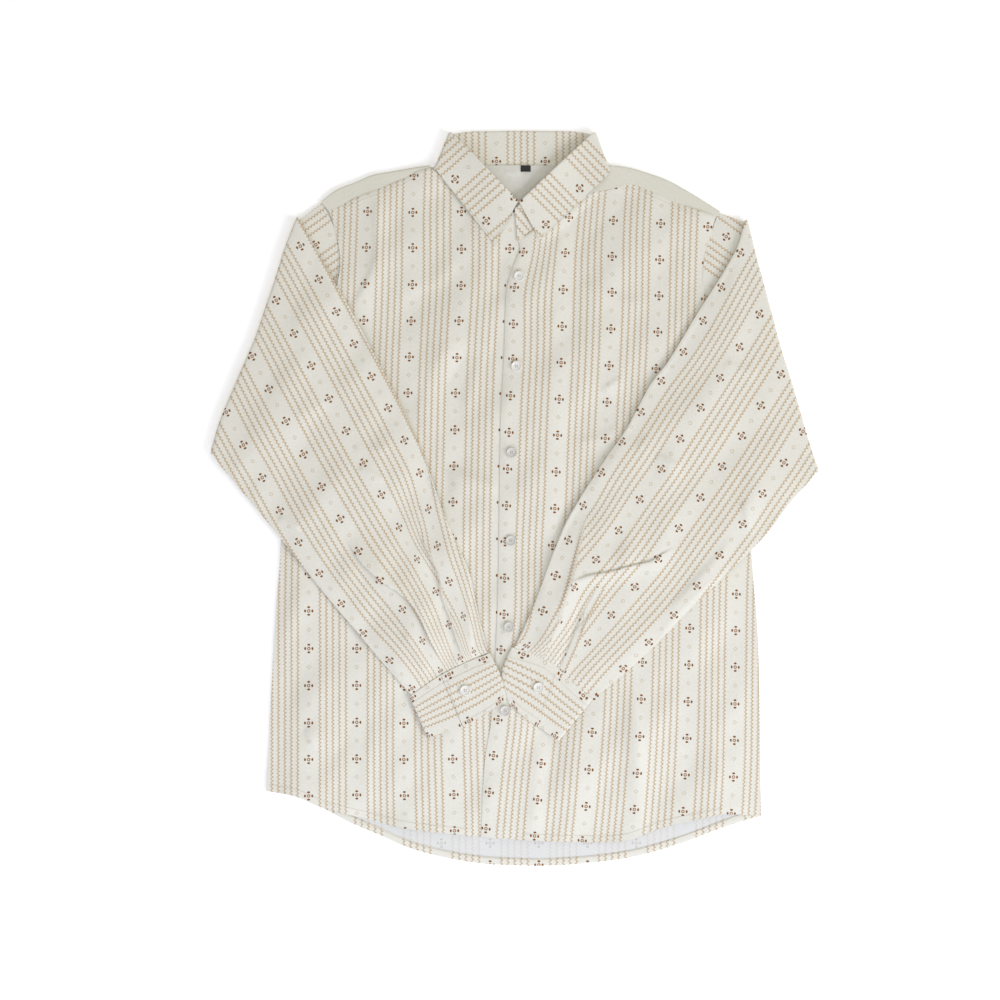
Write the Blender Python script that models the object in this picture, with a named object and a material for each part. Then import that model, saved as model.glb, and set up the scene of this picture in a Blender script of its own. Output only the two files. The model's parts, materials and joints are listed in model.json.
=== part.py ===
"""A patterned button-down shirt laid flat on its back, sleeves folded over the front.

Every panel is a thin closed solid worked out from a grid of points: the outline comes from short tables
of named edges, the height from the order of the layers and a table of folds. Tables are in millimetres,
the scene is in metres, +Z is up from the table and +Y runs from hem to collar.
"""

import math

import bmesh
import bpy
import numpy as np

MM = 0.001
TO_CENTRE = (0.0, -0.65, 0.0)  # brings the middle of the laid-out shirt to the origin

# Cloth
CLOTH = 1.2           # wall of one layer
HEM_TURN = 8.0        # height of the turned-up hem
HEM_WALL = 1.9        # wall where the back hem lies double
FRONT_HEM_WALL = 1.6  # wall where a front hem lies double
SEAM_GAP = 0.35       # between pieces that a seam joins
FRONT_SEAM_GAP = 0.9  # from a front's top edge to the yoke's seam line
NECK_GAP = 1.5        # from a front's neck edge to the collar
ARMHOLE_EASE = 0.9    # the back's armhole edge set in from the seam line

# Heights of the layers' middle surfaces above the table
BACK_Z = 0.6
FRONT_Z = 2.7         # front panels in the open
SIDE_SEAM_Z = 2.15    # front panels at the side seams
SIDE_RISE = 30.0      # width over which they rise from one to the other
OVERLAP_LIFT = 2.0    # wearer's left front over the right one
OVERLAP_REACH = 42.0  # how far past the under edge the lift has ended
OVERLAP_RAMP = 22.0   # width of its slope
HEM_LIFT = 0.9        # fronts over the back's turned-up hem
NECK_LIFT = 1.7       # yoke over the fold of the collar behind the neck
NECK_RAMP = 22.0      # width of that lift's slopes
FOLD_AXIS_Z = 4.55    # height of the line round which a sleeve folds over
FOLD_INNER = 1.25     # from that line to the sleeve's inner layer
FOLD_OUTER = 3.95     # from that line to the sleeve's outer layer
SLEEVE_REST = 0.75    # free height under a folded sleeve
SLEEVE_LAYERS = 2.7   # between the two layers of a sleeve
SLEEVE_PUFF = 2.2     # extra height in the middle of a sleeve

# Edges, seen from above: x and y in mm
ARMHOLE_RIGHT = [(-245, 91), (-226, 123), (-205, 172), (-191, 231), (-188, 260), (-193, 288), (-201, 309)]
ARMHOLE_LEFT = [(248, 80), (231, 118), (213, 172), (205, 222), (206, 256), (211, 283), (218, 301)]
SIDE_RIGHT = [(-268, -315), (-264, -244), (-259, -147), (-253, -66), (-249, 20), (-245, 91)]
SIDE_LEFT = [(266, -342), (263, -163), (256, -66), (251, 20), (248, 80)]
HEM_RIGHT = [(-268, -315), (-235, -321), (-204, -334), (-160, -345), (-119, -355), (-51, -363), (-4, -366)]
HEM_LEFT = [(-36, -364), (11, -368), (65, -370), (117, -369), (158, -355), (195, -346), (226, -340),
            (266, -342)]
HEM_BACK = [(-268, -315), (-242, -319), (-210, -332), (-178, -349), (-145, -363), (-113, -377), (-80, -386),
            (-48, -392), (-16, -395), (33, -396), (82, -393), (130, -386), (179, -372), (227, -354),
            (266, -342)]
FRONT_EDGE = [(-36, -364), (-32, -296), (-24, -229), (-19, -109), (-16, 10), (-15, 83), (-11, 159),
              (-9, 219), (-5, 243), (4, 267)]
UNDER_EDGE = [(-4, -366), (1, -303), (11, -195), (17, -44), (20, 107), (24, 215), (27, 262)]
YOKE_FOLD_RIGHT = [(-208, 322), (-194, 333), (-178, 339), (-161, 347), (-145, 352), (-129, 354), (-113, 357),
                   (-91, 359)]
YOKE_SEAM_RIGHT = [(-201, 311), (-185, 317), (-168, 325), (-147, 333), (-124, 342), (-106, 351), (-92, 355)]
YOKE_FOLD_LEFT = [(102, 359), (114, 360), (130, 355), (146, 351), (163, 345), (179, 337), (195, 327),
                  (211, 318), (221, 311)]
YOKE_SEAM_LEFT = [(78, 331), (98, 333), (117, 338), (129, 339), (139, 336), (150, 330), (170, 321), (182, 315),
                  (200, 309), (217, 303)]
YOKE_BACK_Y = 274.0
NECK_RIGHT = [(-92, 354), (-85, 352), (-62, 335), (-20, 296), (0, 280), (27, 262)]
NECK_LEFT = [(78, 330), (52, 314), (27, 291), (14, 279), (4, 267)]

# Folded sleeves: edges of the part that lies over the front
SLEEVE_RIGHT = {
    "fold": [(-236, 302), (-242, 290), (-250, 265), (-261, 230), (-273, 195), (-285, 161), (-301, 127),
             (-314, 92), (-324, 72), (-328, 51)],
    "inner": [(-236, 302), (-222, 279), (-204, 249), (-174, 198), (-153, 158), (-126, 106), (-99, 48),
              (-74, -21), (-49, -78), (-40, -118), (-28, -165)],
    "outer": [(-328, 51), (-305, 23), (-281, -6), (-250, -44), (-209, -96), (-160, -155), (-127, -194),
              (-110, -213)],
    "cuff": [(-28, -165), (-48, -175), (-80, -191), (-110, -213)],
    "shoulder": (-208, 322),
    "side": -1,
}
SLEEVE_LEFT = {
    "fold": [(252, 299), (262, 258), (275, 210), (288, 161), (301, 120), (315, 71), (328, 31)],
    "inner": [(252, 299), (240, 270), (220, 235), (194, 194), (168, 151), (144, 119), (125, 82), (103, 50),
              (72, 3), (53, -30), (30, -89), (17, -123), (-1, -160)],
    "outer": [(328, 31), (298, -1), (272, -36), (236, -73), (193, -114), (157, -152), (131, -177),
              (99, -204), (82, -217)],
    "cuff": [(-1, -160), (21, -170), (38, -178), (48, -188), (61, -200), (82, -217)],
    "shoulder": (221, 311),
    "side": 1,
}
HIDDEN_RINGS = 4   # along the part under the fold
FOLD_RINGS = 5     # round the fold
OVER_RINGS = 18    # along the part on top
SLEEVE_ACROSS = 9  # stations across one layer

# Folds: from x, y to x, y, half width, height; negative heights are troughs
BODY_FOLDS = [
    (-148, 330, -147, 240, 13, 2.2),
    (-147, 240, -178, 190, 15, 1.8),
    (-50, 165, -85, 95, 22, -0.7),
    (-70, 18, -18, 14, 14, 1.6),
    (97, 118, 118, 128, 14, 1.8),
    (136, -215, 132, -345, 17, 2.6),
    (60, -240, 72, -350, 20, 1.6),
    (-222, -250, -190, -266, 12, 1.6),
    (-120, -215, -128, -335, 22, 2.0),
    (200, -100, 214, -310, 22, 1.8),
    (-205, -120, -222, -290, 22, 1.4),
]
SLEEVE_FOLDS = [
    (-175, -56, -125, -100, 7, 3.2),
    (-125, -100, -84, -165, 7, 3.4),
    (-94, -30, -62, -150, 10, -2.4),
    (-78, -60, -50, -120, 7, 3.0),
    (-165, 28, -140, 20, 6, 2.2),
    (-252, -22, -232, -32, 6, 2.0),
    (66, -86, 175, -50, 6, 3.0),
    (62, -86, 34, -165, 8, 2.8),
    (50, -50, 12, -150, 8, -2.0),
    (150, 40, 172, 30, 7, 2.0),
    (250, 0, 268, -44, 8, 2.0),
    (200, -90, 245, -45, 8, 1.8),
]

# Cuffs: corners of the seam edge and the free edge, and where the top end stops
CUFF_RIGHT = {
    "seam": [(-112, -215.5), (-80, -194), (-48, -178), (-26, -169)],
    "free": [(-94, -257), (-60, -246), (-28, -229), (-9, -214)],
    "side": -1,
    "overlap": 0.42,
}
CUFF_LEFT = {
    "seam": [(-3, -163), (21, -171.5), (38, -179.5), (62, -201.5), (82, -218)],
    "free": [(-7, -219), (12, -236), (28, -247), (48, -260)],
    "side": 1,
    "overlap": 0.40,
}
CUFF_WALL = 1.1
CUFF_REST = 0.5   # free height under a cuff
CUFF_STEP = 2.0   # from its lowest layer to the end inside
CUFF_TOP = 1.65   # from that end to the one on top
CUFF_UNDER = 0.32  # how far the end inside reaches past the one on top
CUFF_ROWS = 4

# Neck
NECK_SEAM_Y = 361.0
FACING = 1.0         # wall of the yoke facing
FACING_INSET = 12.0  # from the neck seam, hidden under the collar
TAG = 0.6
TAG_GAP = 0.3        # the tag above the facing
FACING_GAP = 0.4     # the facing above the yoke

# Collar, flattened: its front halves turn over the back one round slanting side folds
COLLAR_AXIS_Z = 4.45
STAND_TURN = 2.15    # from that height to the stand
LEAF_TURN = 3.85     # from that height to the leaf
LEAF_WIDTH = 45.0
BACK_BOW = 3.4       # the roll behind the neck stands out this far
ROLL_OVER = 4.2      # how far the leaf reaches over the stand's edge
FOLD_LIMIT = {180: 99.0, 135: 43.0, 90: 36.5, 45: 35.0, 0: 99.0}  # the leaf stops above the shoulder fold
ROLL_PUFF = 5.0      # how much the roll stands up between the side and the front
LEAF_EDGE_Z = 6.5    # leaf at its outer edge
STAND_HEIGHT = 35.0
STAND_SLANT = 0.925  # the stand's height over its length along the slanting side fold
FRONT_COLUMNS = 7    # along one front half
BACK_COLUMNS = 9     # behind the neck
COLLAR_RIGHT = {
    "front_roll": (4, 321), "side_roll": (-71, 395.5), "front_tip": (-21, 274), "side_tip": (-88, 353),
    "stand_end": [(4, 321), (-19, 298)], "side": -1,
}
COLLAR_LEFT = {
    "front_roll": (5, 320), "side_roll": (88, 395.5), "front_tip": (27, 279), "side_tip": (105, 349),
    "stand_end": [(-6, 307), (4, 274)], "side": 1,
}

# Sleeve slit binding: middle x, y and the direction across it
SLEEVE_PLACKET = [(84, -109, 0.91, 0.42), (79, -121, 0.90, 0.43), (73, -134, 0.90, 0.43),
                  (67, -147, 0.89, 0.45), (61, -159, 0.88, 0.47), (55, -171, 0.87, 0.49)]

PLACKET_WALL = 1.0
PLACKET_HALF = 6.0   # half of its width
PLACKET_REST = 0.8   # free height under it

# Buttons
BUTTON_PROFILE = [(0.0, 0.0), (4.4, 0.0), (5.8, 1.0), (5.6, 1.9), (5.0, 2.2), (4.1, 2.0), (3.4, 1.5),
                  (0.0, 1.4)]
BUTTON_FACETS = 14
BUTTON_REST = 0.4    # free height under a button
BUTTONS = [(5, 240), (2, 143), (-3, 50), (-4, -45), (-6, -138), (-10, -228)]
CUFF_BUTTONS = {"button_cuff_right": (-53, -206), "button_cuff_left": (26, -203)}

COLOURS = {
    "pattern_cotton": (0.80, 0.79, 0.74),
    "plain_cotton": (0.76, 0.75, 0.69),
    "facing_cotton": (0.74, 0.74, 0.72),
    "black_tape": (0.02, 0.02, 0.02),
    "button_plastic": (0.83, 0.82, 0.78),
}


def clear_scene():
    """Removes every object of the start-up scene."""
    for obj in list(bpy.data.objects):
        bpy.data.objects.remove(obj, do_unlink=True)


def material(slot, roughness=0.9):
    """The material of that name, made the first time it is asked for."""
    found = bpy.data.materials.get(slot)
    if found:
        return found
    made = bpy.data.materials.new(slot)
    made.use_nodes = True
    shader = made.node_tree.nodes["Principled BSDF"]
    shader.inputs["Base Color"].default_value = (*COLOURS[slot], 1.0)
    shader.inputs["Roughness"].default_value = roughness
    return made


def add_object(name, mesh, slot, place):
    """Adds one named object of the shirt at its place in mm."""
    mesh.materials.append(material(slot))
    obj = bpy.data.objects.new(name, mesh)
    bpy.context.scene.collection.objects.link(obj)
    obj.location = (np.asarray(place, float) + TO_CENTRE) * MM
    obj.parent = bpy.data.objects["shirt"]
    return obj


def add_solid(name, points, faces, slot):
    """Adds one named object from points in mm and its faces, its origin in the middle of them."""
    points = np.asarray(points, float)
    middle = (points.min(axis=0) + points.max(axis=0)) / 2
    shape = bmesh.new()
    corners = [shape.verts.new(p) for p in (points - middle) * MM]
    for face in faces:
        shape.faces.new([corners[n] for n in face])
    bmesh.ops.recalc_face_normals(shape, faces=shape.faces)
    mesh = bpy.data.meshes.new(name)
    shape.to_mesh(mesh)
    shape.free()
    return add_object(name, mesh, slot, middle)


def curve(points, count):
    """Points evenly spaced along a smooth curve through the given ones (an array of count + 1 rows)."""
    pts = np.asarray(points, float)
    if len(pts) > 2:
        padded = np.vstack([2 * pts[0] - pts[1], pts, 2 * pts[-1] - pts[-2]])
        dense = []
        for i in range(1, len(padded) - 2):
            a, b, c, d = padded[i - 1:i + 3]
            for t in np.linspace(0, 1, 12, endpoint=False):
                dense.append(0.5 * (2 * b + (c - a) * t + (2 * a - 5 * b + 4 * c - d) * t ** 2
                                    + (3 * b - a - 3 * c + d) * t ** 3))
        dense.append(pts[-1])
        pts = np.array(dense)
    steps = np.concatenate([[0], np.cumsum(np.linalg.norm(np.diff(pts, axis=0), axis=1))])
    wanted = np.linspace(0, steps[-1], count + 1)
    return np.stack([np.interp(wanted, steps, pts[:, k]) for k in range(pts.shape[1])], axis=1)


def joined(*runs):
    """Several curves end to end, the shared points once."""
    return np.vstack([runs[0]] + [run[1:] for run in runs[1:]])


def share(line):
    """Each point's share of the way along a line, 0 to 1."""
    steps = np.concatenate([[0], np.cumsum(np.linalg.norm(np.diff(line, axis=0), axis=1))])
    return steps / steps[-1]


def patch(bottom, top, left, right):
    """A grid of plan points (rows, columns, 2) filling four edges."""
    u = ((share(bottom) + share(top)) / 2)[None, :, None]
    v = ((share(left) + share(right)) / 2)[:, None, None]
    corners = ((1 - u) * (1 - v) * bottom[0] + u * (1 - v) * bottom[-1]
               + (1 - u) * v * top[0] + u * v * top[-1])
    return ((1 - v) * bottom[None] + v * top[None] + (1 - u) * left[:, None] + u * right[:, None] - corners)


def smooth(x):
    """0 below 0, 1 above 1, soft between."""
    x = np.clip(x, 0, 1)
    return x * x * (3 - 2 * x)


def folds(x, y, table):
    """Sum of the folds of a table at plan points."""
    total = np.zeros(np.broadcast(x, y).shape)
    for x0, y0, x1, y1, half_width, height in table:
        length = math.hypot(x1 - x0, y1 - y0)
        ex, ey = (x1 - x0) / length, (y1 - y0) / length
        along = ((x - x0) * ex + (y - y0) * ey) / length
        across = (-(x - x0) * ey + (y - y0) * ex) / half_width
        taper = smooth((along + 0.15) / 0.35) * smooth((1.15 - along) / 0.35)
        total = total + height * np.exp(-across ** 2) * taper
    return total


def distance_to(x, y, line):
    """Distance of plan points from a line of points."""
    pts = curve(line, 60)
    gap = np.hypot(np.asarray(x)[..., None] - pts[:, 0], np.asarray(y)[..., None] - pts[:, 1])
    return gap.min(axis=-1)


def neck_lift(x, y):
    """How far the collar folded behind the neck lifts what lies on it."""
    reach = smooth((x + 120) / NECK_RAMP) * smooth((136 - x) / NECK_RAMP)
    return NECK_LIFT * reach * smooth((y - 322) / NECK_RAMP)


def front_z(x, y):
    """Middle surface of the front panels, without the overlap."""
    x, y = np.asarray(x, float), np.asarray(y, float)
    near_side = np.minimum(distance_to(x, y, SIDE_RIGHT), distance_to(x, y, SIDE_LEFT))
    rise = smooth(near_side / SIDE_RISE)
    base = SIDE_SEAM_Z + (FRONT_Z - SIDE_SEAM_Z) * rise
    over_hem = HEM_LIFT * smooth(1.9 - distance_to(x, y, HEM_BACK) / 16)
    return base + over_hem + neck_lift(x, y) + rise * folds(x, y, BODY_FOLDS)


def overlap_lift(x, y):
    """Extra height of the wearer's left front where it lies on the right one."""
    y = np.asarray(y, float)
    edge = np.array(UNDER_EDGE, float)
    limit = np.interp(y, edge[:, 1], edge[:, 0])
    return OVERLAP_LIFT * smooth((limit + OVERLAP_REACH - np.asarray(x)) / OVERLAP_RAMP)


def body_top(x, y):
    """Upper surface of the two fronts together."""
    left_front = np.asarray(x) > np.interp(y, [p[1] for p in FRONT_EDGE], [p[0] for p in FRONT_EDGE]) - 6
    return front_z(x, y) + np.where(left_front, overlap_lift(x, y), 0) + CLOTH / 2


def normals(grid, wrap):
    """Unit normals of a grid of points, upwards for a flat one."""
    if wrap:
        across = np.roll(grid, -1, axis=1) - np.roll(grid, 1, axis=1)
    else:
        across = np.gradient(grid, axis=1)
    along = np.gradient(grid, axis=0)
    cross = np.cross(across, along)
    length = np.linalg.norm(cross, axis=2, keepdims=True)
    return cross / np.maximum(length, 1e-9)


def cloth(name, grid, slot, wall=CLOTH, wrap=False, keep=None):
    """A closed solid round a grid of middle points, half of its wall to each side.

    With wrap, the last column joins the first; keep masks the cells that are there.
    """
    rows, columns = grid.shape[:2]
    wall = np.broadcast_to(np.asarray(wall, float), (rows, columns))[..., None]
    direction = normals(grid, wrap)
    upper = (grid + direction * wall / 2).reshape(-1, 3)
    lower = (grid - direction * wall / 2).reshape(-1, 3)
    count = len(upper)
    across = columns if wrap else columns - 1
    if keep is None:
        keep = np.ones((rows - 1, across), bool)
    faces, edges = [], {}
    for j in range(rows - 1):
        for i in range(across):
            if not keep[j, i]:
                continue
            k = (i + 1) % columns
            quad = [j * columns + i, j * columns + k, (j + 1) * columns + k, (j + 1) * columns + i]
            faces.append(quad)
            faces.append([count + n for n in reversed(quad)])
            for a, b in zip(quad, quad[1:] + quad[:1]):
                edges[(a, b)] = True
    for a, b in edges:
        if (b, a) not in edges:
            faces.append([b, a, count + a, count + b])
    points = np.vstack([upper, lower])
    used = sorted({n for face in faces for n in face})
    place = {n: m for m, n in enumerate(used)}
    return add_solid(name, points[used], [[place[n] for n in face] for face in faces], slot)


def lifted(plan, height):
    """Plan points with a height added."""
    return np.concatenate([plan, np.broadcast_to(height, plan.shape[:2])[..., None]], axis=2)


def make_back():
    """Back panel from the hem to the yoke's back seam, its hem turned up."""
    def armhole(line):
        pts = np.array(line, float)
        x_end = np.interp(YOKE_BACK_Y, pts[:, 1], pts[:, 0])
        kept = [p for p in line if p[1] < YOKE_BACK_Y - 4] + [(x_end, YOKE_BACK_Y - SEAM_GAP)]
        return [kept[0]] + [(x - math.copysign(ARMHOLE_EASE, x), y) for x, y in kept[1:]]

    right = joined(curve(SIDE_RIGHT, 8), curve(armhole(ARMHOLE_RIGHT), 5))
    left = joined(curve(SIDE_LEFT, 8), curve(armhole(ARMHOLE_LEFT), 5))
    bottom = curve(HEM_BACK, 20)
    top = np.linspace(right[-1], left[-1], 21)
    plan = with_hem_row(patch(bottom, top, right, left))
    wall = hem_wall(plan, HEM_WALL)
    cloth("back", lifted(plan, wall / 2), "pattern_cotton", wall)


def with_hem_row(plan):
    """The grid with a row added where the turned-up hem ends."""
    step = plan[1] - plan[0]
    row = plan[0] + step / np.linalg.norm(step, axis=1, keepdims=True) * HEM_TURN
    return np.vstack([plan[:1], row[None], plan[1:]])


def hem_wall(plan, double):
    """Wall of a panel with a turned hem in its first two rows."""
    wall = np.full(plan.shape[:2], CLOTH)
    wall[:2] = double
    return wall


def make_fronts():
    """The two front panels; the wearer's left one lies on the right one along the button band."""
    seam_r = np.asarray(YOKE_SEAM_RIGHT, float) + (0.4, -FRONT_SEAM_GAP)
    neck_r = np.asarray(NECK_RIGHT, float) + (0, -NECK_GAP)
    right = joined(curve(SIDE_RIGHT, 9), curve(np.vstack([ARMHOLE_RIGHT[:-1], seam_r[:1]]), 8))
    edge = joined(curve(UNDER_EDGE[:5], 9), curve(np.vstack([UNDER_EDGE[4:-1], neck_r[-1:]]), 8))
    top = joined(curve(seam_r, 6), curve(np.vstack([seam_r[-1:], neck_r[1:]]), 6))
    plan = with_hem_row(patch(curve(HEM_RIGHT, 12), top, right, edge))
    height = front_z(plan[..., 0], plan[..., 1])
    cloth("front_right", lifted(plan, height), "pattern_cotton", hem_wall(plan, FRONT_HEM_WALL))

    seam_l = np.asarray(YOKE_SEAM_LEFT, float) + (0, -FRONT_SEAM_GAP)
    neck_l = np.asarray(NECK_LEFT, float) + (0, -NECK_GAP)
    edge = joined(curve(FRONT_EDGE[:6], 9), curve(np.vstack([FRONT_EDGE[5:-1], neck_l[-1:]]), 8))
    left = joined(curve(SIDE_LEFT, 9), curve(np.vstack([ARMHOLE_LEFT[:-1], seam_l[-1:]]), 8))
    top = joined(curve(neck_l[::-1], 7), curve(np.vstack([neck_l[:1], seam_l[1:]]), 6))
    plan = with_hem_row(patch(curve(HEM_LEFT, 13), top, edge, left))
    x, y = plan[..., 0], plan[..., 1]
    height = front_z(x, y) + overlap_lift(x, y)
    cloth("front_left", lifted(plan, height), "pattern_cotton", hem_wall(plan, FRONT_HEM_WALL))


def make_yoke():
    """Outer yoke: from the back seam along the table, over the shoulder folds and down to the front seams."""
    wing, middle = 6, 8
    right_fold = curve(YOKE_FOLD_RIGHT, wing)
    left_fold = curve(YOKE_FOLD_LEFT, wing)
    neck = np.stack([np.linspace(right_fold[-1, 0], left_fold[0, 0], middle + 1),
                     np.full(middle + 1, NECK_SEAM_Y - 1.2)], axis=1)
    fold = joined(right_fold, neck, left_fold)
    fold[wing, 1] = fold[-wing - 1, 1] = NECK_SEAM_Y - 1.2
    right_seam = curve(YOKE_SEAM_RIGHT, wing)
    left_seam = curve(YOKE_SEAM_LEFT, wing)
    seam = joined(right_seam, np.linspace(right_seam[-1], left_seam[0], middle + 1), left_seam)
    back_x = np.interp(share(fold), [0, 1], [-190, 207])
    roll = 1.35
    rows = []
    for part in np.linspace(0, 1, 5):
        y = YOKE_BACK_Y + (fold[:, 1] - roll - CLOTH / 2 - YOKE_BACK_Y) * part
        x = back_x + (fold[:, 0] - back_x) * part
        rows.append(np.stack([x, y, BACK_Z + neck_lift(x, y)], axis=1))
    low = rows[-1][:, 2]
    high = np.maximum(front_z(fold[:, 0], fold[:, 1] - 3), low + 2 * roll)
    rise = (high - low) / 2
    for angle in (-45, 0, 45):
        turn = math.radians(angle)
        rows.append(np.stack([fold[:, 0], fold[:, 1] - CLOTH / 2 - roll * (1 - math.cos(turn)),
                              low + rise * (1 + math.sin(turn))], axis=1))
    start = np.stack([fold[:, 0], fold[:, 1] - roll - CLOTH / 2 - 0.4, high], axis=1)
    end = np.stack([seam[:, 0], seam[:, 1], front_z(seam[:, 0], seam[:, 1])], axis=1)
    for part in (0, 0.5, 1):
        rows.append(start + (end - start) * part)
    grid = np.array(rows)
    keep = np.ones((len(grid) - 1, grid.shape[1] - 1), bool)
    keep[4:, wing:wing + middle] = False
    cloth("yoke_outer", grid, "plain_cotton", CLOTH, keep=keep)


def make_neck_pieces():
    """Yoke facing in the neck opening and the bare tag on it."""
    ys = np.linspace(306, NECK_SEAM_Y - 1.2, 5)
    rows = []
    for y in ys:
        left = np.interp(y, [297, 360], [-20, -85]) + FACING_INSET
        right = np.interp(y, [295, 360], [27, 101]) - FACING_INSET
        x = np.linspace(left, right, 9)
        rows.append(np.column_stack([x, np.full(9, y), facing_z(x, y)]))
    cloth("yoke_inner", np.array(rows), "facing_cotton", FACING)
    xs, ys = np.meshgrid(np.linspace(6.7, 17.4, 3), np.linspace(352.8, 359.6, 3))
    height = facing_z(xs, ys) + FACING / 2 + TAG_GAP + TAG / 2
    cloth("neck_tag", lifted(np.stack([xs, ys], axis=2), height), "black_tape", TAG)


def facing_z(x, y):
    """Middle of the yoke facing, which lies on the yoke."""
    return BACK_Z + neck_lift(x, y) + CLOTH / 2 + FACING_GAP + FACING / 2


def sleeve_layers(x, y, u, t):
    """Middle heights of the inner and outer layer of the part that lies on the front."""
    near_fold = 1 - smooth(t / 0.12)
    rest = body_top(x, y) + SLEEVE_REST + CLOTH / 2
    low = FOLD_AXIS_Z + FOLD_INNER
    inner = np.maximum(rest, low - 0.6)
    inner = inner * (1 - near_fold) + low * near_fold
    puff = SLEEVE_PUFF * np.sin(np.pi * u) ** 0.8 * smooth(t / 0.15) * (1 - 0.5 * smooth((t - 0.8) / 0.2))
    creases = folds(x, y, SLEEVE_FOLDS) * smooth(u / 0.1) * smooth((1 - u) / 0.1)
    gap = np.maximum(SLEEVE_LAYERS + puff + creases, CLOTH + 0.9)
    return inner, inner + gap


def shrunk(line, ends):
    """A crossing line pulled in at both ends by so many mm, keeping its shape."""
    line = np.asarray(line, float)
    total = np.linalg.norm(np.diff(line, axis=0), axis=1).sum()
    s = share(line)
    wanted = ends / total + s * (1 - 2 * ends / total)
    return np.stack([np.interp(wanted, s, line[:, k]) for k in range(2)], axis=1)


def ring(plan, inner_z, outer_z, push=None):
    """One ring of a flattened tube: the outer layer, round the edge, the inner layer and round again."""
    first = plan[0] - plan[1]
    last = plan[-1] - plan[-2]
    first, last = first / np.linalg.norm(first), last / np.linalg.norm(last)
    if push is None:
        push = (np.zeros_like(plan), np.zeros_like(plan))
    outer = np.column_stack([plan + push[1], outer_z])
    inner = np.column_stack([plan + push[0], inner_z])

    def side(k, direction, start, end):
        middle = (start[k] + end[k]) / 2
        half = (start[k] - end[k]) / 2
        radius = np.linalg.norm(half)
        out = np.append(direction, 0) * radius
        return [middle + half * math.cos(a) + out * math.sin(a) for a in (math.pi / 4, math.pi / 2, 3 * math.pi / 4)]

    return np.vstack([outer, side(-1, last, outer, inner), inner[::-1], side(0, first, inner, outer)])


def make_sleeve(name, spec):
    """A flattened tube from the armhole out to the fold and back over the front down to the cuff."""
    side = spec["side"]
    n = SLEEVE_ACROSS
    edge_round = (FOLD_OUTER - FOLD_INNER) / 2 + CLOTH / 2
    armhole = ARMHOLE_RIGHT if side < 0 else ARMHOLE_LEFT
    start = curve(list(armhole[::-1]), n - 1)
    start[:, 0] += side * (CLOTH / 2 + 3 * SEAM_GAP)
    start[0] = np.asarray(spec["shoulder"], float) + (side * 1.2, -3.0)
    start = shrunk(start, edge_round)
    fold = curve(spec["fold"], n - 1)
    tangent = np.gradient(fold, axis=0)
    out = np.stack([tangent[:, 1], -tangent[:, 0]], axis=1) / np.linalg.norm(tangent, axis=1, keepdims=True)
    if (out[:, 0].mean() > 0) != (side > 0):
        out = -out
    fold = shrunk(fold - out * (FOLD_OUTER + CLOTH / 2), edge_round)
    rings = []
    low_in, low_out = FOLD_AXIS_Z - FOLD_INNER, FOLD_AXIS_Z - FOLD_OUTER
    for k in range(HIDDEN_RINGS):
        part = k / HIDDEN_RINGS
        plan = start * (1 - part) + fold * part
        top = low_in * part + front_z(start[:, 0], start[:, 1]) * (1 - part)
        rings.append(ring(plan, top, np.full(n, low_out)))
    for k in range(FOLD_RINGS):
        turn = math.pi * (k + 0.5) / FOLD_RINGS
        push = [out * r * math.sin(turn) for r in (FOLD_INNER, FOLD_OUTER)]
        heights = [np.full(n, FOLD_AXIS_Z - r * math.cos(turn)) for r in (FOLD_INNER, FOLD_OUTER)]
        rings.append(ring(fold, heights[0], heights[1], push))
    inner_edge = curve(spec["inner"], OVER_RINGS)
    outer_edge = curve(spec["outer"], OVER_RINGS)
    whole = patch(curve(spec["fold"], n - 1), curve(spec["cuff"], n - 1), inner_edge, outer_edge)
    u = np.linspace(0, 1, n)
    for k in range(1, OVER_RINGS + 1):
        t = k / OVER_RINGS
        plan = shrunk(whole[k], edge_round)
        inner, outer = sleeve_layers(plan[:, 0], plan[:, 1], u, t)
        rings.append(ring(plan, inner, outer))
    grid = np.array(rings)
    if side > 0:
        grid = grid[:, ::-1]
    return cloth(name, grid, "pattern_cotton", CLOTH, wrap=True)


def make_cuff(name, spec):
    """A band bent round: it starts under its own end, runs round both sides and stops on top."""
    seam, free = curve(spec["seam"], 20), curve(spec["free"], 20)
    if spec["side"] > 0:
        seam, free = seam[::-1], free[::-1]
    overlap = spec["overlap"]
    middle = (seam + free) / 2
    low = max(body_top(middle[:, 0], middle[:, 1])) + CUFF_REST + CLOTH / 2
    mid, high = low + CUFF_STEP, low + CUFF_STEP + CUFF_TOP
    path = [(s, mid) for s in np.linspace(overlap + CUFF_UNDER, 0.03, 7)]
    path += [(0.004, (low + mid) / 2)]
    path += [(s, low) for s in np.linspace(0.03, 0.97, 9)]
    path += [(0.998, (low + high) / 2)]
    path += [(s, high) for s in np.linspace(0.965, overlap, 6)]
    s_values = np.array([p[0] for p in path])
    z_values = np.array([p[1] for p in path])
    stations = np.linspace(0, 1, 21)
    rows = []
    for v in np.linspace(0, 1, CUFF_ROWS):
        line = seam * (1 - v) + free * v
        rows.append(np.column_stack([np.interp(s_values, stations, line[:, 0]),
                                     np.interp(s_values, stations, line[:, 1]), z_values]))
    grid = np.array(rows)
    if spec["side"] > 0:
        grid = grid[:, ::-1]
    cloth(name, grid, "pattern_cotton", CUFF_WALL)
    return high + CUFF_WALL / 2


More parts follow.
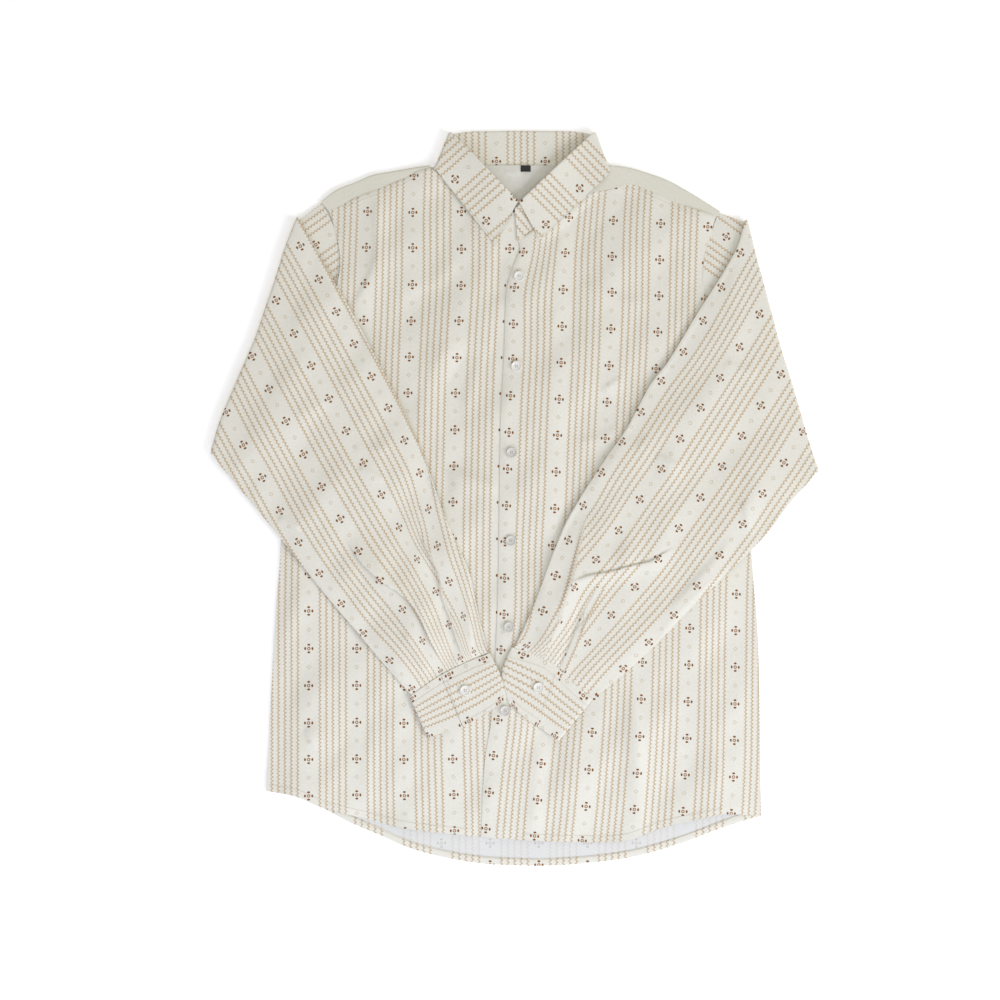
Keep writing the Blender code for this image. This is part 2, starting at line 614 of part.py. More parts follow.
def collar_half(spec, rows, front_lines, count):
    """Front half of a collar piece: columns from the front end to the side fold, then round the fold.

    rows holds, for each row, its share down the side fold and its layer (0 stand, 1 leaf).
    """
    side = spec["side"]
    top, tip = np.array(spec["side_roll"], float), np.array(spec["side_tip"], float)
    down = (tip - top) / np.linalg.norm(tip - top)
    out = np.array([-down[1], down[0]])
    if (out[0] > 0) != (side > 0):
        out = -out
    axis_top = top - out * (LEAF_TURN + CLOTH / 2)
    columns = []
    for k in range(count):
        s = k / count
        columns.append([front(s, axis_top, down) for front in front_lines])
    for turn in (180, 135, 90, 45, 0):
        a = math.radians(turn)
        column = []
        for distance, layer in rows:
            reach = STAND_TURN + (LEAF_TURN - STAND_TURN) * layer
            kept = min(distance, FOLD_LIMIT[turn])
            spread = 1.6 if turn == 135 and distance > FOLD_LIMIT[90] else 1.0
            p = axis_top + down * kept + out * reach * math.sin(a) * spread
            column.append((p[0], p[1], COLLAR_AXIS_Z - reach * math.cos(a)))
        columns.append(column)
    return columns


def collar_grid(rows, front_start, front_rise):
    """One collar piece all round: front right, side fold, back, side fold, front left.

    rows: (distance down the fold, layer) per row. front_start(spec, k) gives the plan point of row k at
    the front end, front_rise(spec, k, s, x, y) its height at share s of the way to the side.
    """
    halves = []
    for spec in (COLLAR_RIGHT, COLLAR_LEFT):
        lines = []
        for k, (distance, layer) in enumerate(rows):
            def line(s, axis_top, down, k=k, distance=distance, layer=layer, spec=spec):
                begin = np.asarray(front_start(spec, k), float)
                end = axis_top + down * distance
                x, y = begin + (end - begin) * s
                return x, y, front_rise(spec, k, layer, s, x, y)
            lines.append(line)
        halves.append(collar_half(spec, rows, lines, FRONT_COLUMNS))
    left, right = halves
    first, last = np.array(left[-1]), np.array(right[-1])
    middle = []
    for k in range(1, BACK_COLUMNS):
        column = first + (last - first) * k / BACK_COLUMNS
        level = np.array([max(0.0, 1 - d / LEAF_WIDTH) for d, _ in rows])
        column[:, 1] += BACK_BOW * math.sin(math.pi * k / BACK_COLUMNS) ** 0.3 * level
        middle.append(column)
    columns = [np.array(c) for c in left] + middle + [np.array(c) for c in reversed(right)]
    return np.array(columns).transpose(1, 0, 2)[::-1]


def roll_rise(s):
    """How much the roll stands up at share s from the front end to the side."""
    return ROLL_PUFF * math.sin(math.pi * min(1.0, 0.12 + 0.88 * s)) ** 0.8


def make_collar():
    """The stand, and the leaf that rolls over its edge and turns down outside it."""
    stand_rows = [(d / STAND_SLANT, 0) for d in (ROLL_OVER + 1.2, 14, 24, 33.6)]

    def stand_start(spec, k):
        roll, seam = spec["stand_end"]
        share_down = stand_rows[k][0] * STAND_SLANT / STAND_HEIGHT
        return np.asarray(roll, float) + (np.asarray(seam, float) - roll) * share_down

    def stand_rise(spec, k, layer, s, x, y):
        down = stand_rows[k][0] * STAND_SLANT / STAND_HEIGHT
        seam_z = float(front_z(x, y) + (overlap_lift(x, y) if spec["side"] > 0 else 0))
        top = COLLAR_AXIS_Z + STAND_TURN + roll_rise(s) * (1 - down) ** 1.3 - 0.7 * (1 - s)
        near_side = float(smooth((s - 0.6) / 0.4))
        seam_z = seam_z * (1 - near_side) + (COLLAR_AXIS_Z + STAND_TURN) * near_side
        return top * (1 - down) + seam_z * down

    cloth("collar_stand", collar_grid(stand_rows, stand_start, stand_rise), "pattern_cotton")

    leaf_rows = [(ROLL_OVER, 0, 0), (1.6, 0, 0), (0.6, 0.5, 0), (1.6, 1, 0), (12, 1, 0.25), (22, 1, 0.5),
                 (33, 1, 0.75), (43.5, 1, 1)]
    rows = [(d, layer) for d, layer, _ in leaf_rows]

    def leaf_start(spec, k):
        d, _, v = leaf_rows[k]
        roll, tip = np.asarray(spec["front_roll"], float), np.asarray(spec["front_tip"], float)
        return roll + (tip - roll) * (v if v else d / LEAF_WIDTH)

    def leaf_rise(spec, k, layer, s, x, y):
        v = leaf_rows[k][2]
        low = COLLAR_AXIS_Z + STAND_TURN + (LEAF_TURN - STAND_TURN) * layer
        near_side = float(smooth((s - 0.55) / 0.45))
        outer = LEAF_EDGE_Z * (1 - near_side) + (COLLAR_AXIS_Z + LEAF_TURN) * near_side
        return low + roll_rise(s) * (1 - v) ** 1.3 + (outer - low) * v

    cloth("collar_leaf", collar_grid(rows, leaf_start, leaf_rise), "pattern_cotton")


def make_sleeve_placket():
    """Binding of the sleeve slit above the wearer's left cuff, lying on the sleeve's outer layer."""
    whole = patch(curve(SLEEVE_LEFT["fold"], 24), curve(SLEEVE_LEFT["cuff"], 24),
                  curve(SLEEVE_LEFT["inner"], 120), curve(SLEEVE_LEFT["outer"], 120))
    rows = []
    for x, y, across_x, across_y in SLEEVE_PLACKET:
        row = []
        for offset in (-PLACKET_HALF, 0, PLACKET_HALF):
            px, py = x + across_x * offset, y + across_y * offset
            gap = np.hypot(whole[..., 0] - px, whole[..., 1] - py)
            j, i = np.unravel_index(gap.argmin(), gap.shape)
            _, outer = sleeve_layers(np.array([px]), np.array([py]), np.array([i / 24]),
                                     np.array([j / 120]))
            row.append((px, py, float(outer[0]) + (CLOTH + PLACKET_WALL) / 2 + PLACKET_REST))
        rows.append(row)
    cloth("sleeve_placket_left", np.array(rows[::-1]), "pattern_cotton", PLACKET_WALL)


def make_button(name, x, y, z):
    """A shirt button turned from its profile: rim, dished middle and flat back, lying on the cloth."""
    shape = bmesh.new()
    corners = [shape.verts.new((r * MM, 0, h * MM)) for r, h in BUTTON_PROFILE]
    edges = [shape.edges.new(pair) for pair in zip(corners, corners[1:])]
    bmesh.ops.spin(shape, geom=corners + edges, cent=(0, 0, 0), axis=(0, 0, 1), angle=2 * math.pi,
                   steps=BUTTON_FACETS, use_merge=True)
    bmesh.ops.remove_doubles(shape, verts=shape.verts, dist=0.01 * MM)
    bmesh.ops.recalc_face_normals(shape, faces=shape.faces)
    mesh = bpy.data.meshes.new(name)
    shape.to_mesh(mesh)
    shape.free()
    return add_object(name, mesh, "button_plastic", (x, y, z))


def main():
    """Builds every piece."""
    clear_scene()
    bpy.context.scene.collection.objects.link(bpy.data.objects.new("shirt", None))
    make_back()
    make_fronts()
    make_yoke()
    make_neck_pieces()
    make_collar()
    make_sleeve("sleeve_right", SLEEVE_RIGHT)
    make_sleeve("sleeve_left", SLEEVE_LEFT)
    make_sleeve_placket()
    tops = {"button_cuff_right": make_cuff("cuff_right", CUFF_RIGHT),
            "button_cuff_left": make_cuff("cuff_left", CUFF_LEFT)}
    for count, (x, y) in enumerate(BUTTONS, 1):
        around = [(x + dx, y + dy) for dx in (-5, 0, 5) for dy in (-5, 0, 5)]
        z = max(float(body_top(px, py)) for px, py in around)
        make_button(f"button_{count}", x, y, z + BUTTON_REST)
    for name, (x, y) in CUFF_BUTTONS.items():
        make_button(name, x, y, tops[name] + BUTTON_REST)


main()
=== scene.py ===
"""A printed cotton button-down shirt laid flat, front up, with its sleeves folded over the front.

Tables are in millimetres as seen from above: X across, Y from hem to collar, heights above the table.
"""

import json
import logging
import math
from collections.abc import Callable
from dataclasses import dataclass
from enum import Enum

import bpy
import numpy as np
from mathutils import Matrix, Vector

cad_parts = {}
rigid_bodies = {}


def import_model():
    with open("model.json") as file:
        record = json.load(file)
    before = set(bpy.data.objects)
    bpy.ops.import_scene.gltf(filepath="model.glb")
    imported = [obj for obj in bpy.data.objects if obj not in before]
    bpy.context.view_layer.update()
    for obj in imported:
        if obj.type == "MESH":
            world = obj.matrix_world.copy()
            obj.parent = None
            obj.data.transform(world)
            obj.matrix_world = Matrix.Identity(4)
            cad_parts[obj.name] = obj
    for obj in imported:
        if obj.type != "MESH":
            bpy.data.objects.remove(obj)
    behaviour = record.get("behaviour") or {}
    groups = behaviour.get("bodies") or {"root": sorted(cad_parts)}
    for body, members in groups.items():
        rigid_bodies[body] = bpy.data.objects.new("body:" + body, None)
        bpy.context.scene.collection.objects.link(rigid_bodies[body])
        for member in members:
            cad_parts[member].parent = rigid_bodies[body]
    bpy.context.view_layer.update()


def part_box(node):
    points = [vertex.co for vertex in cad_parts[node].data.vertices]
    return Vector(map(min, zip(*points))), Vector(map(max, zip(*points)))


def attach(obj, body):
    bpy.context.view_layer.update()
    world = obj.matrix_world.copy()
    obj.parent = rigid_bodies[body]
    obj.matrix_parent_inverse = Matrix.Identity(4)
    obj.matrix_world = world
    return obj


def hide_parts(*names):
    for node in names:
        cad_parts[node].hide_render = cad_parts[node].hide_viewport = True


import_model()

LOG = logging.getLogger("shirt")
BODY = "root"
MM = 0.001
TO_CENTRE = (0.0, -0.65, 0.0)  # brings the middle of the laid-out shirt to the origin

Array = np.ndarray
Piece = bpy.types.Object
Tree = bpy.types.NodeTree
Socket = bpy.types.NodeSocket
Values = tuple[tuple[str, float], ...]  # sockets by name, and what they are set to
Point = tuple[float, float]
Line = tuple[Point, ...]
Marks = tuple[tuple[float, float, Line], ...]  # a printed column, its first cross's number, plan points


class Slot(Enum):
    """The record's material slots."""

    PRINTED = "pattern_cotton"
    PLAIN = "plain_cotton"
    FACING = "facing_cotton"
    TAPE = "black_tape"
    BUTTON = "button_plastic"


# ---------------------------------------- shared helpers


def to_linear(colour: str) -> tuple[float, float, float, float]:
    """Turns an sRGB hex colour into linear RGBA.

    Args:
        colour: Six hex digits, such as "e8e4da".

    Returns:
        Linear red, green, blue and an alpha of 1.
    """
    parts = [int(colour[i:i + 2], 16) / 255 for i in (0, 2, 4)]
    linear = [c / 12.92 if c <= 0.04045 else ((c + 0.055) / 1.055) ** 2.4 for c in parts]
    return (linear[0], linear[1], linear[2], 1.0)


def add_node(tree: Tree, kind: str, settings: dict | None = None, inputs: dict | None = None
             ) -> bpy.types.Node:
    """Adds a shader node with its settings and its links or values.

    Args:
        tree: The node tree it goes into.
        kind: The node's type name.
        settings: Attributes of the node.
        inputs: Sockets by name or number, each a value or an output socket to link from.

    Returns:
        The new node.
    """
    made = tree.nodes.new(kind)
    for name, value in (settings or {}).items():
        setattr(made, name, value)
    for name, value in (inputs or {}).items():
        if isinstance(value, Socket):
            tree.links.new(value, made.inputs[name])
        else:
            made.inputs[name].default_value = value
    return made


def smooth(x: Array) -> Array:
    """0 below 0, 1 above 1, soft between."""
    x = np.clip(x, 0, 1)
    return x * x * (3 - 2 * x)


def curve(points: Array, count: int) -> Array:
    """Points evenly spaced along a smooth curve through the given ones.

    Args:
        points: The points to pass through.
        count: How many equal steps to divide it into.

    Returns:
        An array of count + 1 points.
    """
    pts = np.asarray(points, float)
    if len(pts) > 2:
        pts = spline(pts, np.linspace(0, len(pts) - 1, 12 * (len(pts) - 1) + 1))
    steps = distances(pts)
    wanted = np.linspace(0, steps[-1], count + 1)
    return np.stack([np.interp(wanted, steps, pts[:, k]) for k in range(pts.shape[1])], axis=1)


def spline(points: Array, places: Array, closed: bool = False) -> Array:
    """Smooth values between the entries of the first axis.

    Args:
        points: Values to pass through, one entry per whole number.
        places: Where to read them, in entries from 0.
        closed: Whether the last entry is followed by the first.

    Returns:
        One value per place.
    """
    if closed:
        padded = np.concatenate([points[-1:], points, points[:2]])
    else:
        padded = np.concatenate([2 * points[:1] - points[1:2], points, 2 * points[-1:] - points[-2:-1]])
    start = np.clip(np.floor(places).astype(int), 0, len(padded) - 4)
    t = (places - start).reshape((-1,) + (1,) * (points.ndim - 1))
    a, b, c, d = (padded[start + k] for k in range(4))
    return 0.5 * (2 * b + (c - a) * t + (2 * a - 5 * b + 4 * c - d) * t ** 2
                  + (3 * b - a - 3 * c + d) * t ** 3)


def joined(*runs: Array) -> Array:
    """Several curves end to end, the shared points once."""
    return np.vstack([runs[0]] + [run[1:] for run in runs[1:]])


def distances(line: Array) -> Array:
    """How far along a line each of its points is."""
    return np.concatenate([[0], np.cumsum(np.linalg.norm(np.diff(line, axis=0), axis=1))])


def share(line: Array) -> Array:
    """Each point's share of the way along a line, 0 to 1."""
    steps = distances(line)
    return steps / steps[-1]


def unit(vectors: Array) -> Array:
    """The same directions with a length of 1."""
    return vectors / np.maximum(np.linalg.norm(vectors, axis=-1, keepdims=True), 1e-9)


def beside(line: Array) -> Array:
    """Unit plan directions to the left of a line, one for each point."""
    along = np.gradient(line, axis=0)
    return unit(np.stack([-along[:, 1], along[:, 0]], axis=1))


def patch(bottom: Array, top: Array, left: Array, right: Array) -> Array:
    """Fills four edges with a grid of plan points.

    Args:
        bottom: The first row.
        top: The last row.
        left: The first column.
        right: The last column.

    Returns:
        Points as rows, columns, 2.
    """
    u = ((share(bottom) + share(top)) / 2)[None, :, None]
    v = ((share(left) + share(right)) / 2)[:, None, None]
    corners = ((1 - u) * (1 - v) * bottom[0] + u * (1 - v) * bottom[-1]
               + (1 - u) * v * top[0] + u * v * top[-1])
    return (1 - v) * bottom[None] + v * top[None] + (1 - u) * left[:, None] + u * right[:, None] - corners


def lifted(plan: Array, height: Array) -> Array:
    """Plan points with a height added."""
    return np.concatenate([plan, np.broadcast_to(height, plan.shape[:2])[..., None]], axis=2)


def refined(grid: Array, rows: Array, columns: Array, wrap: bool = False) -> Array:
    """A finer grid on the smooth surface through a coarse one.

    Args:
        grid: Coarse points or values as rows, columns, n.
        rows: Row places to read, in coarse rows.
        columns: Column places to read, in coarse columns.
        wrap: Whether the last column is followed by the first.

    Returns:
        The values at the places.
    """
    across = spline(grid.transpose(1, 0, 2), columns, wrap)
    return spline(across.transpose(1, 0, 2), rows)


def evenly(grid: Array, rows: int, columns: int) -> tuple[Array, Array]:
    """A finer grid with even spacing.

    Args:
        grid: Coarse points as rows, columns, 3.
        rows: How many rows it gets.
        columns: How many columns it gets.

    Returns:
        The points, and each column's place among the coarse columns.
    """
    places = np.linspace(0, grid.shape[1] - 1, columns)
    return refined(grid, np.linspace(0, len(grid) - 1, rows), places), places


def normals(grid: Array, wrap: bool = False) -> Array:
    """Unit normals of a grid of points, upwards for a flat one."""
    if wrap:
        across = np.roll(grid, -1, axis=1) - np.roll(grid, 1, axis=1)
    else:
        across = np.gradient(grid, axis=1)
    return unit(np.cross(across, np.gradient(grid, axis=0)))


def distance_to(x: Array, y: Array, line: Array) -> Array:
    """Distance of plan points from a smooth line of points."""
    pts = curve(line, 60)
    gap = np.hypot(np.asarray(x)[..., None] - pts[:, 0], np.asarray(y)[..., None] - pts[:, 1])
    return gap.min(axis=-1)


def fold_heights(x: Array, y: Array, table: tuple) -> Array:
    """Sum of the soft straight folds of a table: from x, y to x, y, half width, height."""
    total = np.zeros(np.broadcast(x, y).shape)
    for x0, y0, x1, y1, half_width, height in table:
        length = math.hypot(x1 - x0, y1 - y0)
        ex, ey = (x1 - x0) / length, (y1 - y0) / length
        along = ((x - x0) * ex + (y - y0) * ey) / length
        across = (-(x - x0) * ey + (y - y0) * ex) / half_width
        taper = smooth((along + 0.15) / 0.35) * smooth((1.15 - along) / 0.35)
        total = total + height * np.exp(-across ** 2) * taper
    return total


def edit_mode(on: bool) -> None:
    """Goes into edit mode, or back out of it."""
    bpy.ops.object.mode_set(mode="EDIT" if on else "OBJECT")


def deselect() -> None:
    """Selects nothing, as before each new object."""
    bpy.ops.object.select_all(action="DESELECT")


def select_only(obj: Piece) -> None:
    """Makes one object the only selected and the active one."""
    deselect()
    obj.select_set(True)
    bpy.context.view_layer.objects.active = obj


def finish_piece(obj: Piece, slot: Slot, *nodes: str) -> None:
    """Rides a piece on the body and hides the nodes it stands for."""
    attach(obj, BODY)
    if nodes:
        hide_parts(*nodes)
    LOG.info("%s: %d triangles", obj.name, sum(len(face.vertices) - 2 for face in obj.data.polygons))


# ---------------------------------------- creases and print


@dataclass(frozen=True)
class Crease:
    """One crease: a line of points, how wide each flank is, its height and its lean."""

    line: Line
    left: float
    right: float
    height: float
    lean: float = 0.0

    RUN_OUT = 0.22  # share of the line over which each end fades away

    def push(self, x: Array, y: Array) -> Array:
        """How far the crease moves the cloth.

        Args:
            x: Plan X of the points.
            y: Plan Y of them.

        Returns:
            Moves in X, Y and Z on a new last axis; a leaning crest moves towards its steeper flank.
        """
        pts = curve(np.array(self.line), 8 * (len(self.line) - 1))
        parts = share(pts)
        best = np.full(x.shape, 1e9)
        side, along, ax, ay = (np.zeros(x.shape) for _ in range(4))
        for k in range(len(pts) - 1):
            step = pts[k + 1] - pts[k]
            length = np.linalg.norm(step)
            ex, ey = step / length  # the direction of this part of the line
            dx, dy = x - pts[k, 0], y - pts[k, 1]
            t = np.clip((dx * ex + dy * ey) / length, 0, 1)
            gap = np.hypot(dx - t * step[0], dy - t * step[1])
            nearer = gap < best
            best = np.where(nearer, gap, best)
            side = np.where(nearer, dy * ex - dx * ey, side)
            along = np.where(nearer, parts[k] + (parts[k + 1] - parts[k]) * t, along)
            ax, ay = np.where(nearer, -ey, ax), np.where(nearer, ex, ay)
        width = np.where(side > 0, self.left, self.right)
        taper = smooth(along / self.RUN_OUT) * smooth((1 - along) / self.RUN_OUT)
        high = self.height * np.exp(-(best / width) ** 2) * taper
        lean = self.lean if self.left < self.right else -self.lean
        return np.stack([ax * lean * high, ay * lean * high, high], axis=-1)


def crease_push(x: Array, y: Array, creases: tuple[Crease, ...]) -> Array:
    """Sum of the creases' moves at plan points."""
    return sum((crease.push(x, y) for crease in creases), np.zeros(x.shape + (3,)))


# Long low waves that cloth keeps after pressing: wavelength, direction in degrees, start, height
RIPPLES = ((127, 148, 0.4, 1.0), (96, 116, 1.9, 0.75), (71, 160, 3.1, 0.5), (53, 33, 5.2, 0.3),
           (41, 127, 0.9, 0.24), (31, 151, 2.6, 0.15))


def ripple_heights(x: Array, y: Array) -> Array:
    """The low waves at plan points."""
    total = np.zeros(np.broadcast(x, y).shape)
    for length, angle, start, height in RIPPLES:
        a = math.radians(angle)
        total = total + height * np.sin(2 * math.pi * (x * math.cos(a) + y * math.sin(a)) / length + start)
    return total


@dataclass(frozen=True)
class PrintMap:
    """Where the print lies on a piece, from its crosses.

    Each row of marks is a printed column, the number of its first cross, and the crosses' plan points.
    """

    marks: Marks
    bend: float = 0.02

    PERIOD = 52.6  # mm from a column of crosses to the next
    CROSS_STEP = 39.5  # mm from a cross to the next in its column
    SCALE = 100.0

    def at(self, x: Array, y: Array) -> Array:
        """Reads the print's place in mm at plan points.

        Args:
            x: Plan X in mm.
            y: Plan Y in mm.

        Returns:
            Millimetres across and along the print, on a new last axis.
        """
        rows = [(px, py, column, first + k) for column, first, points in self.marks
                for k, (px, py) in enumerate(points)]
        table = np.array(rows, float)
        at, wanted = table[:, :2] / self.SCALE, table[:, 2:] * (self.PERIOD, self.CROSS_STEP)
        count = len(table)
        system = np.zeros((count + 3, count + 3))
        system[:count, :count] = self.kernel(at[:, None] - at[None]) + self.bend * np.eye(count)
        system[:count, count], system[:count, count + 1:] = 1, at
        system[count, :count], system[count + 1:, :count] = 1, at.T
        weights = np.linalg.solve(system, np.vstack([wanted, np.zeros((3, 2))]))
        flat = np.stack([np.ravel(x), np.ravel(y)], axis=1) / self.SCALE
        value = self.kernel(flat[:, None] - at[None]) @ weights[:count]
        value = value + weights[count] + flat @ weights[count + 1:]
        return value.reshape(np.shape(x) + (2,))

    @staticmethod
    def kernel(offset: Array) -> Array:
        """The bending energy's kernel between points."""
        square = (offset ** 2).sum(axis=-1)
        return 0.5 * square * np.log(square + 1e-12)


# ---------------------------------------- finishes


class Finish:
    """A material made once and shared."""

    name: str

    def material(self) -> bpy.types.Material:
        """The Blender material, made the first time it is asked for."""
        found = bpy.data.materials.get(self.name)
        if found:
            return found
        made = bpy.data.materials.new(self.name)
        made.use_nodes = True
        made.node_tree.nodes.clear()
        self.build(made.node_tree)
        return made

    def build(self, tree: Tree) -> None:
        """Adds the nodes; each finish has its own."""
        raise NotImplementedError

    @staticmethod
    def close(tree: Tree, sockets: dict) -> None:
        """Ends a tree with one Principled shader that takes these sockets."""
        shader = add_node(tree, "ShaderNodeBsdfPrincipled", {}, sockets)
        add_node(tree, "ShaderNodeOutputMaterial", {}, {"Surface": shader.outputs["BSDF"]})


def sums(tree: Tree, start: dict, steps: tuple) -> dict:
    """Adds a run of Math nodes from a short table.

    Args:
        tree: The node tree.
        start: Named sockets to begin with.
        steps: Rows of result name, operation and one to three inputs, each a name or a number.

    Returns:
        The named sockets, with the results added.
    """
    known = dict(start)
    for result, operation, *inputs in steps:
        values = {k: known[v] if isinstance(v, str) else v for k, v in enumerate(inputs)}
        known[result] = add_node(tree, "ShaderNodeMath", {"operation": operation}, values).outputs[0]
    return known


def soft_edge(name: str, softness: float, shift: float) -> tuple:
    """Steps that turn the depth inside a printed figure into its amount of ink, 0 to 1."""
    return ((name, "DIVIDE", name, softness), (name, "ADD", name, shift),
            (name, "MAXIMUM", name, 0.0), (name, "MINIMUM", name, 1.0))


def mixed(tree: Tree, amount: Socket, under: str | Socket, over: str) -> Socket:
    """Blends two colours.

    Args:
        tree: The node tree.
        amount: How much of the second colour, 0 to 1.
        under: The first colour, as a hex colour or a socket.
        over: The second, as a hex colour.

    Returns:
        The blend's socket.
    """
    first = to_linear(under) if isinstance(under, str) else under
    return add_node(tree, "ShaderNodeMix", {"data_type": "RGBA"}, {
        0: amount, 6: first, 7: to_linear(over)}).outputs[2]


def bumped(tree: Tree, strength: float, distance: float, height: Socket) -> Socket:
    """A normal bent by a height; the distance is in metres."""
    return add_node(tree, "ShaderNodeBump", {}, {
        "Strength": strength, "Distance": distance, "Height": height}).outputs[0]


def object_place(tree: Tree) -> Socket:
    """Object coordinates."""
    return add_node(tree, "ShaderNodeTexCoord").outputs["Object"]


@dataclass(frozen=True)
class WovenCotton(Finish):
    """Plain-woven cotton poplin, piece dyed: matt, with a fine thread grain and faint slubs."""

    name: str = "woven_cotton"
    cloth: str = "e6e3d7"
    slub: str = "dcd9cb"
    thread: float = 0.55  # mm a pair of threads, drawn twice as coarse as poplin so that it shows
    grain: float = 0.22
    roughness: float = 0.82

    def cloth_nodes(self, tree: Tree) -> tuple[dict, Socket]:
        """The print's coordinates in mm, and the bump of the weave.

        Args:
            tree: The node tree.

        Returns:
            The sockets x and y in mm, and a normal socket.
        """
        uv = add_node(tree, "ShaderNodeUVMap", {"uv_map": "cloth"}).outputs[0]
        metre = add_node(tree, "ShaderNodeVectorMath", {"operation": "SCALE"}, {0: uv, "Scale": 1000.0})
        split = add_node(tree, "ShaderNodeSeparateXYZ", {}, {0: metre.outputs[0]})
        turn = 2 * math.pi / self.thread
        known = sums(tree, {"x": split.outputs[0], "y": split.outputs[1]}, (
            ("warp", "MULTIPLY", "x", turn), ("warp", "SINE", "warp"),
            ("weft", "MULTIPLY", "y", turn), ("weft", "SINE", "weft"),
            ("weave", "MULTIPLY", "warp", "weft")))
        slubs = add_node(tree, "ShaderNodeTexNoise", {}, {
            "Vector": metre.outputs[0], "Scale": 0.35, "Detail": 5.0, "Roughness": 0.65})
        known["slub"] = slubs.outputs[0]
        height = sums(tree, known, (("high", "MULTIPLY_ADD", "slub", 2.2, "weave"),))["high"]
        return known, bumped(tree, self.grain, 0.0002, height)

    def ground(self, tree: Tree, known: dict) -> Socket:
        """The cloth's own colour, a little uneven from slub to slub."""
        amount = sums(tree, known, (
            ("part", "SUBTRACT", "slub", 0.42), ("part", "MULTIPLY", "part", 2.4),
            ("part", "MAXIMUM", "part", 0.0), ("part", "MINIMUM", "part", 1.0)))["part"]
        return mixed(tree, amount, self.cloth, self.slub)

    def printed(self, tree: Tree, known: dict, ground: Socket) -> Socket:
        """What is printed on the ground: nothing on plain cloth."""
        return ground

    def build(self, tree: Tree) -> None:
        """Cloth with its print, matt and with a slight sheen."""
        known, bump = self.cloth_nodes(tree)
        colour = self.printed(tree, known, self.ground(tree, known))
        self.close(tree, {"Base Color": colour, "Normal": bump, "Roughness": self.roughness,
                          "Sheen Weight": 0.05, "Sheen Roughness": 0.5, "Specular IOR Level": 0.25})


